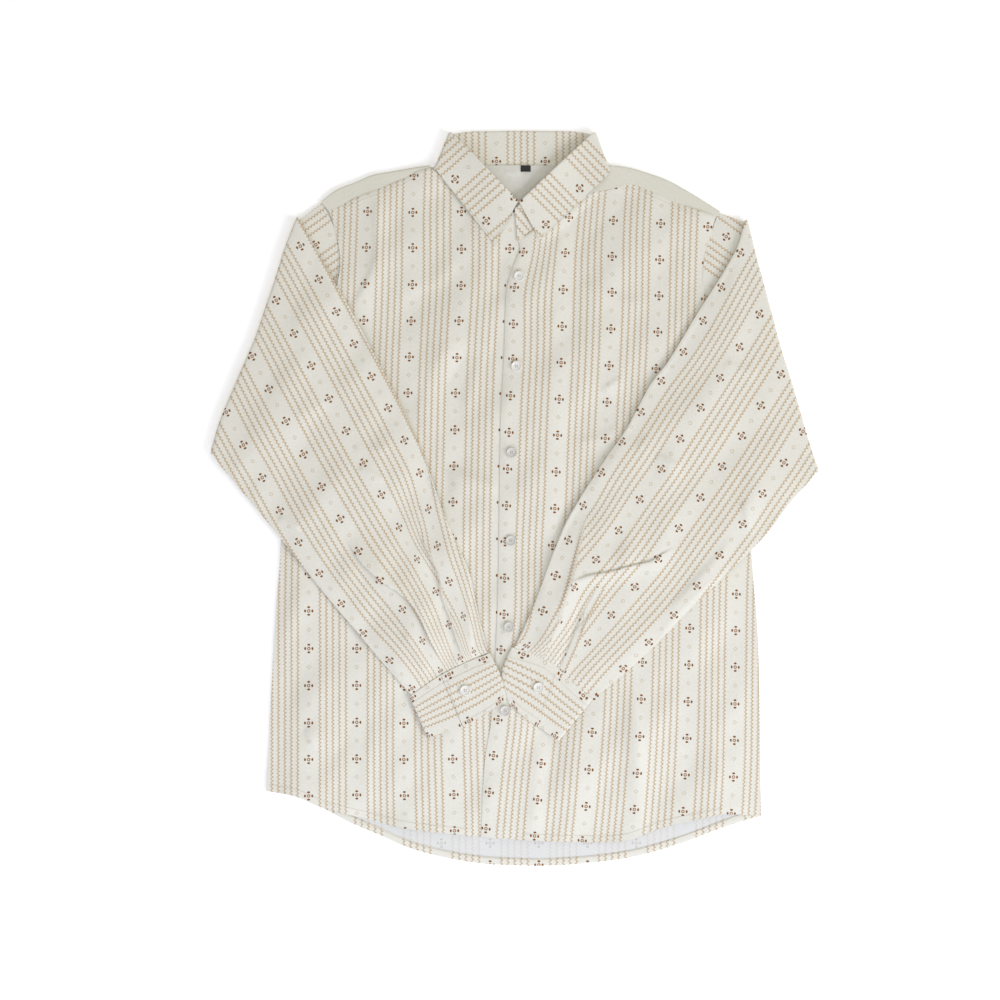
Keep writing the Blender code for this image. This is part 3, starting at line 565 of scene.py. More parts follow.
@dataclass(frozen=True)
class PrintedCotton(WovenCotton):
    """The same poplin with a screen-printed repeat: five zigzags, then a column of crosses and diamonds."""

    name: str = "printed_cotton"
    zigzag: str = "bb9c70"
    spot: str = "7e4c0a"
    heart: str = "8e5a1c"
    diamond: str = "cbbfa6"
    strength: float = 1.0

    zigzag_step: float = 7.1  # mm from a zigzag to the next
    wave: float = 4.1  # mm from tip to tip
    swing: float = 0.78
    stroke: float = 0.88
    offset: float = 1.7  # mm that each zigzag is shifted against the last
    dot_reach: float = 4.0
    dot_size: float = 1.38
    ring_radius: float = 1.35
    ring_stroke: float = 0.62
    diamond_reach: float = 2.0

    def printed(self, tree: Tree, known: dict, ground: Socket) -> Socket:
        """Lays each printed figure's ink on the ground.

        Args:
            tree: The node tree.
            known: The sockets x and y in mm.
            ground: The cloth's own colour.

        Returns:
            The colour of the printed cloth.
        """
        place = add_node(tree, "ShaderNodeCombineXYZ", {}, {0: known["x"], 1: known["y"]}).outputs[0]
        wobble = add_node(tree, "ShaderNodeTexNoise", {}, {"Vector": place, "Scale": 0.9, "Detail": 2.0})
        known["rough"] = wobble.outputs[0]
        known = sums(tree, known, self.zigzag_steps() + self.figure_steps() + (
            ("zig", "MULTIPLY", "zig", 0.95 * self.strength), ("zig", "MULTIPLY", "zig", "ink"),
            ("dot", "MULTIPLY", "dot", self.strength),
            ("ring", "MULTIPLY", "ring", 0.85 * self.strength),
            ("gem", "MULTIPLY", "gem", self.strength)))
        colour = ground
        for amount, ink in (("gem", self.diamond), ("zig", self.zigzag), ("ring", self.heart),
                            ("dot", self.spot)):
            colour = mixed(tree, known[amount], colour, ink)
        return colour

    def zigzag_steps(self) -> tuple:
        """The five zigzags, from the distance to the nearest one's middle line."""
        half = PrintMap.PERIOD / 2
        return (
            # across the repeat: distance from the crosses' column, and from the middle of the zigzags
            ("a", "ADD", "x", half), ("a", "FLOORED_MODULO", "a", 2 * half), ("a", "SUBTRACT", "a", half),
            ("m", "FLOORED_MODULO", "x", 2 * half), ("m", "SUBTRACT", "m", half),
            # nearest zigzag: number -2 to 2, and the offset from its own middle line
            ("n", "DIVIDE", "m", self.zigzag_step), ("n", "ROUND", "n"),
            ("n", "MAXIMUM", "n", -2.0), ("n", "MINIMUM", "n", 2.0),
            ("o", "MULTIPLY", "n", self.zigzag_step), ("o", "SUBTRACT", "m", "o"),
            ("turn", "MULTIPLY_ADD", "n", self.offset, "y"),
            ("turn", "MULTIPLY", "turn", 2 * math.pi / self.wave), ("wave", "SINE", "turn"),
            ("z", "MULTIPLY_ADD", "wave", -self.swing, "o"), ("z", "ABSOLUTE", "z"),
            ("beat", "MULTIPLY", "turn", 2.0), ("beat", "COSINE", "beat"),
            ("wide", "MULTIPLY_ADD", "beat", -0.3, self.stroke),
            ("wide", "MULTIPLY_ADD", "rough", 1.4, "wide"), ("wide", "SUBTRACT", "wide", 0.7),
            # the ink lies heavier on one side of the wave, and in places it hardly took
            ("ink", "MULTIPLY_ADD", "wave", 0.16, 0.84), ("ink", "MULTIPLY_ADD", "rough", 1.2, "ink"),
            ("ink", "SUBTRACT", "ink", 0.6), ("ink", "MINIMUM", "ink", 1.0),
            ("zig", "SUBTRACT", "wide", "z"), *soft_edge("zig", 1.0, 0.5))

    def figure_steps(self) -> tuple:
        """The crosses, each four ovals round a small ring, and the diamonds between them."""
        step = PrintMap.CROSS_STEP
        return (
            # along the column: distance from the nearest cross and from the nearest diamond
            ("b", "ADD", "y", step / 2), ("b", "FLOORED_MODULO", "b", step),
            ("b", "SUBTRACT", "b", step / 2),
            ("c", "FLOORED_MODULO", "y", step), ("c", "SUBTRACT", "c", step / 2),
            ("ax", "ABSOLUTE", "a"), ("by", "ABSOLUTE", "b"), ("cy", "ABSOLUTE", "c"),
            # four ovals: the quarters are folded on one another, so that one oval is measured
            ("far", "MAXIMUM", "ax", "by"), ("near", "MINIMUM", "ax", "by"),
            ("far", "SUBTRACT", "far", self.dot_reach), ("far", "MULTIPLY", "far", 1.3),
            ("f2", "MULTIPLY", "far", "far"), ("near", "MULTIPLY", "near", 0.85),
            ("dot", "MULTIPLY_ADD", "near", "near", "f2"), ("dot", "SQRT", "dot"),
            ("dot", "SUBTRACT", self.dot_size, "dot"), *soft_edge("dot", 0.35, 0.5),
            ("t2", "MULTIPLY", "by", "by"),
            ("ring", "MULTIPLY_ADD", "ax", "ax", "t2"), ("ring", "SQRT", "ring"),
            ("ring", "SUBTRACT", "ring", self.ring_radius), ("ring", "ABSOLUTE", "ring"),
            ("ring", "SUBTRACT", self.ring_stroke, "ring"), *soft_edge("ring", 0.45, 0.4),
            ("gem", "ADD", "ax", "cy"), ("gem", "SUBTRACT", "gem", self.diamond_reach),
            ("gem", "ABSOLUTE", "gem"), ("gem", "SUBTRACT", 0.5, "gem"), *soft_edge("gem", 0.5, 0.4))


@dataclass(frozen=True)
class WovenTape(Finish):
    """Black woven polyester label tape: close ribs and a slight satin shine."""

    name: str = "woven_tape"
    colour: str = "0c0c0e"
    thread: str = "17171a"

    def build(self, tree: Tree) -> None:
        """Fine ribs across the tape."""
        ribs = add_node(tree, "ShaderNodeTexWave", {"bands_direction": "Y"}, {
            "Vector": object_place(tree), "Scale": 900.0, "Distortion": 1.0}).outputs[1]
        colour = mixed(tree, ribs, self.colour, self.thread)
        self.close(tree, {"Base Color": colour, "Normal": bumped(tree, 0.5, 0.0001, ribs),
                          "Roughness": 0.45})


@dataclass(frozen=True)
class Clouded(Finish):
    """Two close colours in a fine cloud under an even gloss."""

    name: str
    colour: str
    shade: str
    cloud: Values
    gloss: Values

    def build(self, tree: Tree) -> None:
        """The second colour in clouds on the first."""
        cloud = add_node(tree, "ShaderNodeTexNoise", {}, {"Vector": object_place(tree), **dict(self.cloud)})
        self.close(tree, {"Base Color": mixed(tree, cloud.outputs[0], self.colour, self.shade),
                          **dict(self.gloss)})


@dataclass(frozen=True)
class PearlPlastic(Clouded):
    """Cast polyester shirt button: milky with faint pearly clouds, polished rim."""

    name: str = "pearl_plastic"
    colour: str = "efece2"
    shade: str = "d8d6d0"
    cloud: Values = (("Scale", 260.0), ("Detail", 3.0), ("Distortion", 1.2))
    gloss: Values = (("Roughness", 0.32), ("IOR", 1.5), ("Coat Weight", 0.1), ("Coat Roughness", 0.08))


@dataclass(frozen=True)
class SewingThread(Clouded):
    """Spun polyester thread: two plies, cream, slightly hairy and matt."""

    name: str = "sewing_thread"
    colour: str = "ded8c8"
    shade: str = "b9ae98"
    cloud: Values = (("Scale", 1500.0), ("Detail", 2.0))
    gloss: Values = (("Roughness", 0.7),)


@dataclass(frozen=True)
class PaleFloor(Finish):
    """Matt white paper backdrop."""

    name: str = "pale_floor"
    colour: str = "fbfbfb"
    glow: float = 0.2  # lit from beneath, as a cut-out sheet is

    def build(self, tree: Tree) -> None:
        """Even white with hardly any tooth."""
        tooth = add_node(tree, "ShaderNodeTexNoise", {}, {"Vector": object_place(tree), "Scale": 400.0})
        self.close(tree, {"Base Color": to_linear(self.colour), "Roughness": 0.9,
                          "Normal": bumped(tree, 0.05, 0.0002, tooth.outputs[0]),
                          "Emission Color": to_linear(self.colour), "Emission Strength": self.glow})


PRINTED = PrintedCotton()
WRONG_SIDE = PrintedCotton(name="printed_cotton_wrong_side", cloth="e1e0db", slub="d8d8d3", strength=0.24)
CREAM_BUTTON = PearlPlastic()
GREY_BUTTON = PearlPlastic(name="pearl_plastic_grey", colour="dcdad2", shade="bdbab2")
YOKE_CLOTH = WovenCotton(name="yoke_cotton", cloth="dedbcc", slub="d5d2c2")
FACING_CLOTH = WovenCotton(name="facing_cotton_cloth", cloth="dedcd2", slub="d2d0c6")


# ---------------------------------------- sheets


def cloth_sheet(name: str, grid: Array, print_at: Array, finishes: tuple[Finish, Finish], wall: float,
                wrap: bool = False, keep: Array | None = None) -> Piece:
    """A thin shell of cloth on a grid of points.

    Args:
        name: The piece's name.
        grid: Middle points in mm as rows, columns, 3.
        print_at: The print's place in mm at each point, as rows, columns, 2.
        finishes: The right side's finish and the wrong side's.
        wall: The cloth's thickness in mm.
        wrap: Whether the last column lies on the first and is sewn to it.
        keep: Which cells are there, as rows - 1, columns - 1.

    Returns:
        The finished object.
    """
    rows, columns = grid.shape[:2]
    deselect()
    bpy.ops.mesh.primitive_grid_add(x_subdivisions=columns - 1, y_subdivisions=rows - 1, size=1)
    obj = bpy.context.active_object
    obj.name = name
    mesh = obj.data
    mesh.name = name
    points = (grid.reshape(-1, 3) + TO_CENTRE) * MM
    mesh.vertices.foreach_set("co", points.ravel())
    corners = np.empty(len(mesh.loops), dtype=np.int32)
    mesh.loops.foreach_get("vertex_index", corners)
    layer = mesh.uv_layers.active
    layer.name = "cloth"
    layer.data.foreach_set("uv", (print_at.reshape(-1, 2)[corners] * MM).ravel())
    for finish in finishes:
        mesh.materials.append(finish.material())
    mesh.update()
    bpy.context.tool_settings.mesh_select_mode = (False, False, True)
    if keep is not None:
        edit_mode(True)
        bpy.ops.mesh.select_all(action="DESELECT")
        edit_mode(False)
        mesh.polygons.foreach_set("select", ~keep.ravel())
        edit_mode(True)
        bpy.ops.mesh.delete(type="FACE")
        edit_mode(False)
    if wrap:
        edit_mode(True)
        bpy.ops.mesh.select_all(action="SELECT")
        bpy.ops.mesh.remove_doubles(threshold=1e-6)
        edit_mode(False)
    shell = obj.modifiers.new("Wall", "SOLIDIFY")
    shell.thickness = wall * MM
    shell.offset = 0
    shell.material_offset = 1
    shell.material_offset_rim = 0
    bpy.ops.object.modifier_apply(modifier=shell.name)
    bpy.ops.object.shade_smooth_by_angle(angle=math.radians(55))
    return obj


def height_on(obj: Piece, x: float, y: float) -> float:
    """The top of a finished piece at a plan point, in mm."""
    start = ((x + TO_CENTRE[0]) * MM, (y + TO_CENTRE[1]) * MM, 0.2)
    hit, place, _, _ = obj.ray_cast(start, (0, 0, -1))
    return place[2] / MM if hit else 0.0


@dataclass(frozen=True)
class StitchLine:
    """A row of lockstitches in sewing thread along a line on a piece."""

    name: str
    line: Line | Array
    length: float = 2.1
    gap: float = 0.6
    width: float = 0.34
    crown: float = 0.28  # how far a stitch's middle stands off the cloth
    foot: float = 0.08  # and its ends
    wall: float = 0.3

    def build(self, on: Piece) -> None:
        """Lays the stitches on the top of the piece that they are sewn through."""
        coarse, pitch = np.array(self.line, float), self.length + self.gap
        count = max(2, int(distances(coarse)[-1] / pitch))
        pts = curve(coarse, 3 * count)
        across, along = beside(pts), unit(np.gradient(pts, axis=0))
        place = np.arange(3 * count + 1)
        shift = np.where(place % 3 == 2, self.length - 2 * pitch / 3, 0.0)
        pts = pts + along * shift[:, None]
        high = np.array([height_on(on, x, y) for x, y in pts])
        found = high > 0  # a point just past the cloth's edge takes its neighbour's height
        high = np.interp(place, place[found], high[found]) + np.where(place % 3 == 1, self.crown, self.foot)
        grid = np.array([np.column_stack([pts + across * side * self.width / 2, high]) for side in (-1, 1)])
        keep = np.broadcast_to(place[:-1] % 3 != 2, (1, 3 * count))
        thread = SewingThread()
        obj = cloth_sheet(self.name, grid[::-1], grid[::-1, :, :2], (thread, thread), self.wall, keep=keep)
        finish_piece(obj, Slot.PRINTED)


def stitch_all(prefix: str, lines: tuple[Line, ...], on: Piece, *sizes: float) -> None:
    """Sews numbered rows of stitches; the sizes are a stitch's length and gap."""
    for number, line in enumerate(lines):
        StitchLine(f"{prefix}_{number + 1}", line, *sizes).build(on)


# ---------------------------------------- how the shirt lies


@dataclass(frozen=True)
class Layout:
    """The laid-out shirt: the edges of its panels and the heights of its layers."""

    cloth: float = 1.2
    back_z: float = 0.6
    front_height: float = 2.7
    side_seam_z: float = 2.15
    overlap: float = 2.0
    hem_lift: float = 0.9
    neck_rise: float = 1.7
    neck_corner: Point = (-120, 322)  # where the folded collar begins to lift what lies on it
    neck_right_end: float = 136
    fade: float = 22.0  # mm over which a layer's step levels out
    lap: float = 42.0  # how far the lap stays raised past the lower front's edge
    fold_axis: float = 4.55
    fold_inner: float = 1.25
    fold_outer: float = 3.95
    sleeve_rest: float = 0.75
    sleeve_layers: float = 2.7
    sleeve_puff: float = 2.2
    seam_gap: float = 0.35
    yoke_back_y: float = 274.0
    neck_seam_y: float = 361.0

    armhole_right: Line = ((-245, 91), (-226, 123), (-205, 172), (-191, 231), (-188, 260), (-193, 288),
                           (-201, 309))
    armhole_left: Line = ((248, 80), (231, 118), (213, 172), (205, 222), (206, 256), (211, 283), (218, 301))
    side_right: Line = ((-268, -315), (-264, -244), (-259, -147), (-253, -66), (-249, 20), (-245, 91))
    side_left: Line = ((266, -342), (263, -163), (256, -66), (251, 20), (248, 80))
    hem_right: Line = ((-268, -315), (-235, -321), (-204, -334), (-160, -345), (-119, -355), (-51, -363),
                       (-4, -366))
    hem_left: Line = ((-36, -364), (11, -368), (65, -370), (117, -369), (158, -355), (195, -346),
                      (226, -340), (266, -342))
    hem_back: Line = ((-268, -315), (-242, -319), (-210, -332), (-178, -349), (-145, -363), (-113, -377),
                      (-80, -386), (-48, -392), (-16, -395), (33, -396), (82, -393), (130, -386),
                      (179, -372), (227, -354), (266, -342))
    front_edge: Line = ((-36, -364), (-32, -284), (-24, -229), (-18, -109), (-16, 10), (-15, 83),
                        (-11, 159), (-9, 219), (-5, 240), (4.5, 266), (6, 271), (3.7, 280))
    under_edge: Line = ((-4, -366), (1, -303), (11, -195), (17, -44), (20, 107), (24, 215), (27, 262))
    yoke_fold_right: Line = ((-208, 322), (-194, 333), (-178, 339), (-161, 347), (-145, 352), (-129, 354),
                             (-113, 357), (-91, 359))
    yoke_seam_right: Line = ((-201, 311), (-185, 317), (-168, 325), (-147, 333), (-124, 342), (-106, 351),
                             (-92, 355))
    yoke_fold_left: Line = ((102, 359), (114, 360), (130, 355), (146, 351), (163, 345), (179, 337),
                            (195, 327), (211, 318), (221, 311))
    yoke_seam_left: Line = ((78, 331), (98, 333), (117, 338), (129, 339), (139, 336), (150, 330),
                            (170, 321), (182, 315), (200, 309), (217, 303))
    neck_right: Line = ((-92, 354), (-85, 352), (-62, 342), (-20, 318), (2, 310), (27, 288))
    neck_left: Line = ((78, 330), (52, 315), (27, 294), (14, 284), (3.7, 280))

    body_folds: tuple = (  # from x, y to x, y, half width and height
        (-148, 330, -147, 240, 13, 2.2), (-147, 240, -178, 190, 15, 1.8), (-50, 165, -85, 95, 22, -0.7),
        (-70, 18, -18, 14, 14, 1.6), (97, 118, 118, 128, 14, 1.8), (136, -215, 132, -345, 17, 2.6),
        (60, -240, 72, -350, 20, 1.6), (-222, -250, -190, -266, 12, 1.6), (-120, -215, -128, -335, 22, 2.0),
        (200, -100, 214, -310, 22, 1.8), (-205, -120, -222, -290, 22, 1.4))
    sleeve_folds: tuple = (  # the same, on the sleeves' outer layer
        (-175, -56, -125, -100, 7, 3.2), (-125, -100, -84, -165, 7, 3.4), (-94, -30, -62, -150, 10, -2.4),
        (-78, -60, -50, -120, 7, 3.0), (-165, 28, -140, 20, 6, 2.2), (-252, -22, -232, -32, 6, 2.0),
        (66, -86, 175, -50, 6, 3.0), (62, -86, 34, -165, 8, 1.8), (50, -50, 12, -150, 8, -1.0),
        (150, 40, 172, 30, 7, 2.0), (250, 0, 268, -44, 8, 2.0), (200, -90, 245, -45, 8, 1.8))

    def neck_lift(self, x: Array, y: Array) -> Array:
        """How far the collar folded behind the neck lifts what lies on it."""
        (left, low), right = self.neck_corner, self.neck_right_end
        reach = smooth((x - left) / self.fade) * smooth((right - x) / self.fade)
        return self.neck_rise * reach * smooth((y - low) / self.fade)

    def front_z(self, x: Array, y: Array) -> Array:
        """Middle surface of the front panels, without the overlap."""
        x, y = np.asarray(x, float), np.asarray(y, float)
        near_side = np.minimum(distance_to(x, y, self.side_right), distance_to(x, y, self.side_left))
        rise = smooth(near_side / 30)
        base = self.side_seam_z + (self.front_height - self.side_seam_z) * rise
        over_hem = self.hem_lift * smooth(1.9 - distance_to(x, y, self.hem_back) / 16)
        return base + over_hem + self.neck_lift(x, y) + rise * fold_heights(x, y, self.body_folds)

    def overlap_lift(self, x: Array, y: Array) -> Array:
        """Extra height of the wearer's left front where it lies on the right one."""
        edge = np.array(self.under_edge, float)
        limit = np.interp(np.asarray(y, float), edge[:, 1], edge[:, 0])
        return self.overlap * smooth((limit + self.lap - np.asarray(x)) / self.fade)

    def body_top(self, x: Array, y: Array) -> Array:
        """Upper surface of the two fronts together."""
        edge = np.array(self.front_edge, float)
        on_left = np.asarray(x) > np.interp(y, edge[:, 1], edge[:, 0]) - 6
        return self.front_z(x, y) + np.where(on_left, self.overlap_lift(x, y), 0) + self.cloth / 2


LAY = Layout()
WALL = 0.7  # mm of cloth as shown; the solids are thicker
DOUBLE_WALL = 0.9  # mm where it is interlined: collar and cuffs
OUTSIDE = (PRINTED, WRONG_SIDE)  # finishes of a single cloth's two sides
BOTH_SIDES = (PRINTED, PRINTED)  # and of a double one's


# ---------------------------------------- body panels


@dataclass
class BodyPanels:
    """Back and the two fronts; the wearer's left front laps over the right one."""

    lay: Layout = LAY
    rows: int = 250
    columns: int = 96
    hem_height: float = 8.0
    hem_rise: tuple[Point, ...] = ((0.02, 0.55), (0.12, 0.8), (0.5, 0.85), (0.9, 0.8), (1.0, 0.6))
    hem_seam: float = 0.86  # share of its height at which it is stitched
    hem_wall: float = 0.4
    tuck: float = 1.6  # how far the fronts run in under the yoke and the collar
    tuck_depth: float = 0.9
    edge_turn: tuple = (1.0, 0.5, 0.15)  # how far the lap's first columns turn down
    loft: float = 0.6  # how much the loose middle stands off the table

    right_print: PrintMap = PrintMap((
        (0, 0, ((-57.2, 310.4), (-57.2, 269.4), (-57.5, 230), (-59.9, 192.2), (-62.2, 152.3), (-63.6, 114.5),
                (-64.3, 74.5), (-65.3, 35.6), (-66.4, -3.2))),
        (0, 15, ((-66.7, -280.4), (-65.3, -318.8), (-64.7, -357.7))),
        (-1, 0, ((-109.8, 308.9), (-109.8, 271.1), (-110.1, 231.1))),
        (-1, 14, ((-119.3, -241.9), (-119.3, -280.8), (-118.8, -320))),
        (-2, 0, ((-158.2, 310),)),
        (-2, 12, ((-170.1, -161.4), (-170.1, -200.9), (-170.1, -240.8), (-170.1, -280.2), (-170.1, -319))),
        (-3, 11, ((-221.9, -120.6), (-221.9, -161.4), (-221.9, -201.2), (-221.9, -241.5), (-221.9, -280.8),
                  (-221.9, -320)))))
    left_print: PrintMap = PrintMap((
        (0, 0, ((10, 266), (-0.6, 228.2), (-1.1, 188.5), (-1.8, 151.2), (-4.4, 111.2), (-5.9, 71.8),
                (-7.5, 32.4), (-8.6, -7.2), (-10.3, -46.1), (-10.7, -85.3), (-11.1, -124.2),
                (-14.8, -162.6))),
        (0, 13, ((-17.6, -237.6), (-22.8, -276.5), (-27.1, -316.1), (-30.8, -355.3))),
        (1, 0, ((54.5, 265.7), (52.4, 225.7), (51.3, 186.2), (50.2, 146.9), (48.1, 107.5), (46.3, 68.8),
                (44.8, 29.2), (43.4, -10.3), (40.9, -50.2))),
        (1, 14, ((28.6, -285.1), (24.8, -324), (21.6, -363.4))),
        (2, -1, ((106.7, 300.6), (105.3, 261.4), (105.3, 222.9))),
        (2, 13, ((83.7, -251.6), (80.1, -291.4), (77.2, -331.6), (72.9, -368.3))),
        (5, 9, ((239.2, -102.6), (238.7, -142), (238.1, -181.4), (237.6, -220.9), (237.1, -260.3),
                (236, -299.7)))))
    creases: tuple[Crease, ...] = (
        Crease(((-148.5, 334), (-148.5, 290), (-148.5, 260), (-160, 230), (-178, 199)), 9, 4, 1.5),
        Crease(((-46, 172), (-64, 128), (-82, 82)), 14, 9, -1.5),
        Crease(((-24, 184), (-42, 136), (-56, 84)), 7, 12, 1.7),
        Crease(((-68, 176), (-88, 130), (-106, 84)), 13, 7, 1.5),
        Crease(((-62, 262), (-84, 236), (-120, 222)), 7, 12, 1.4),
        Crease(((-80, 31), (-46, 22), (-14, 8)), 6, 9, 1.3),
        Crease(((92, 115), (103, 122), (116, 132)), 3, 6, 1.3),
        Crease(((126, -190), (131, -250), (134, -310), (137, -362)), 6, 10, 1.8),
        Crease(((-225, -246), (-211, -267)), 2.5, 5, 1.2),
        Crease(((30, -250), (24, -310), (20, -366)), 5, 9, 1.1),
        Crease(((-150, -230), (-158, -290), (-160, -345)), 8, 6, 1.0),
        Crease(((70, 240), (110, 215), (150, 212)), 7, 10, 1.2),
        Crease(((66, 60), (92, 66), (118, 78)), 5, 9, 1.3),
        Crease(((-13, 272), (-18, 244), (-17, 208)), 9, 8, -1.6),
        Crease(((-218, 266), (-176, 204), (-151, 160), (-122, 108), (-94, 50), (-66, -20)), 9, 9, -1.4),
        Crease(((200, -215), (214, -260), (222, -318)), 5, 9, 1.2),
        Crease(((24, 268), (52, 290), (82, 316), (108, 340)), 5, 8, -1.3),
        Crease(((-98, 340), (-62, 306), (-30, 268)), 8, 5, -0.9))

    def build(self) -> None:
        """Builds the three panels and the back's turned-up hem."""
        self.build_back()
        self.build_right()
        self.build_left()

    def back_plan(self) -> Array:
        """Plan points of the back, from hem to yoke seam."""
        lay = self.lay

        def armhole(line: tuple) -> list:
            pts = np.array(line, float)
            end = np.interp(lay.yoke_back_y, pts[:, 1], pts[:, 0])
            kept = [p for p in line if p[1] < lay.yoke_back_y - 4] + [(end, lay.yoke_back_y - lay.seam_gap)]
            return [kept[0]] + [(x - math.copysign(0.9, x), y) for x, y in kept[1:]]

        right = joined(curve(lay.side_right, 40), curve(armhole(lay.armhole_right), 25))
        left = joined(curve(lay.side_left, 40), curve(armhole(lay.armhole_left), 25))
        top = np.linspace(right[-1], left[-1], 101)
        return patch(curve(lay.hem_back, 100), top, right, left)

    def back_print(self, x: Array, y: Array) -> Array:
        """The back's print runs straight up and down, centred."""
        return np.stack([x - PrintMap.PERIOD / 2, 300 - y], axis=-1)

    def build_back(self) -> None:
        """The back, wrong side up, and the strip of its hem turned up on it."""
        plan = self.back_plan()
        x, y = plan[..., 0], plan[..., 1]
        height = self.lay.back_z + 0.05 * ripple_heights(x, y)
        obj = cloth_sheet("back_cloth", lifted(plan, height)[:, ::-1], self.back_print(x, y)[:, ::-1],
                          OUTSIDE, WALL)
        finish_piece(obj, Slot.PRINTED, "back")
        edge, inward = plan[0], unit(plan[1] - plan[0])
        rows = []
        for part, rise in self.hem_rise:
            strip = edge + inward * self.hem_height * part
            rows.append(np.column_stack([strip, np.full(len(strip), self.lay.back_z + rise)]))
        grid = np.array(rows)
        band = cloth_sheet("back_hem_band", grid, self.back_print(grid[..., 0], grid[..., 1] + 300),
                           OUTSIDE, self.hem_wall)
        finish_piece(band, Slot.PRINTED)
        line = (edge + inward * self.hem_height * self.hem_seam)[4:-4:6]
        StitchLine("back_hem_stitches", line).build(band)

    def upright(self, lower: tuple, upper: tuple, end: Array) -> Array:
        """An edge of a front from the hem to its last point, divided where the armhole begins."""
        first = self.rows * 9 // 17
        return joined(curve(lower, first), curve(np.vstack([upper, end]), self.rows - first))

    def front_grid(self, plan: Array, lift: Array) -> Array:
        """Heights of one front, with its creases and the low waves."""
        x, y = plan[..., 0], plan[..., 1]
        edge = smooth(distance_to(x, y, self.lay.side_right) / 25) * smooth(
            distance_to(x, y, self.lay.side_left) / 25)
        push = crease_push(x, y, self.creases)
        push[..., 2] += ripple_heights(x, y) + self.loft
        grid = lifted(plan, self.lay.front_z(x, y) + lift) + push * edge[..., None]
        grid[..., 2] = np.maximum(grid[..., 2], self.lay.back_z + 0.9)
        grid[-1, :, 2] -= self.tuck_depth
        return grid

    @staticmethod
    def front(side: str, grid: Array, print_map: PrintMap) -> Piece:
        """One front's cloth, standing for its node."""
        places = print_map.at(grid[..., 0], grid[..., 1])
        obj = cloth_sheet(f"front_{side}_cloth", grid, places, OUTSIDE, WALL)
        finish_piece(obj, Slot.PRINTED, f"front_{side}")
        return obj

    @staticmethod
    def sew(side: str, obj: Piece, at_yoke: Array, at_hem: Array) -> None:
        """The stitches of one front, below the yoke's seam and along the hem."""
        StitchLine("yoke_stitches_" + side, at_yoke).build(obj)
        StitchLine("hem_stitches_" + side, at_hem).build(obj)

    def build_right(self) -> None:
        """The wearer's right front, underneath along the button band."""
        lay = self.lay
        seam = np.asarray(lay.yoke_seam_right, float) + (0.3, self.tuck)
        neck = np.asarray(lay.neck_right, float) + (0, self.tuck)
        side = self.upright(lay.side_right, lay.armhole_right[:-1], seam[:1])
        edge = self.upright(lay.under_edge[:5], lay.under_edge[4:-1], neck[-1:])
        half = self.columns // 2
        top = joined(curve(seam, half), curve(np.vstack([seam[-1:], neck[1:]]), half))
        plan = patch(curve(lay.hem_right, self.columns), top, side, edge)
        grid = self.front_grid(plan, np.zeros(plan.shape[:2]))
        obj = self.front("right", grid, self.right_print)
        self.sew("right", obj, np.array(lay.yoke_seam_right[1:-1], float) - (0, 4),
                 np.array(lay.hem_right[:-1], float) + (3, 7))

    def build_left(self) -> None:
        """The wearer's left front, on top along the button band."""
        lay = self.lay
        seam = np.asarray(lay.yoke_seam_left, float) + (0, self.tuck)
        neck = np.asarray(lay.neck_left, float) + (0, self.tuck)
        edge = self.upright(lay.front_edge[:6], lay.front_edge[5:-1], neck[-1:])
        side = self.upright(lay.side_left, lay.armhole_left[:-1], seam[-1:])
        half = self.columns // 2
        top = joined(curve(neck[::-1], half), curve(np.vstack([neck[:1], seam[1:]]), half))
        plan = patch(curve(lay.hem_left, self.columns), top, edge, side)
        x, y = plan[..., 0], plan[..., 1]
        grid = self.front_grid(plan, lay.overlap_lift(x, y))
        grid[:, :3, 2] -= self.edge_turn
        obj = self.front("left", grid, self.left_print)
        self.sew("left", obj, np.array(lay.yoke_seam_left[2:-1], float) - (0, 4),
                 np.array(lay.hem_left[1:-1], float) + (-1, 7))


# ---------------------------------------- yoke and neck


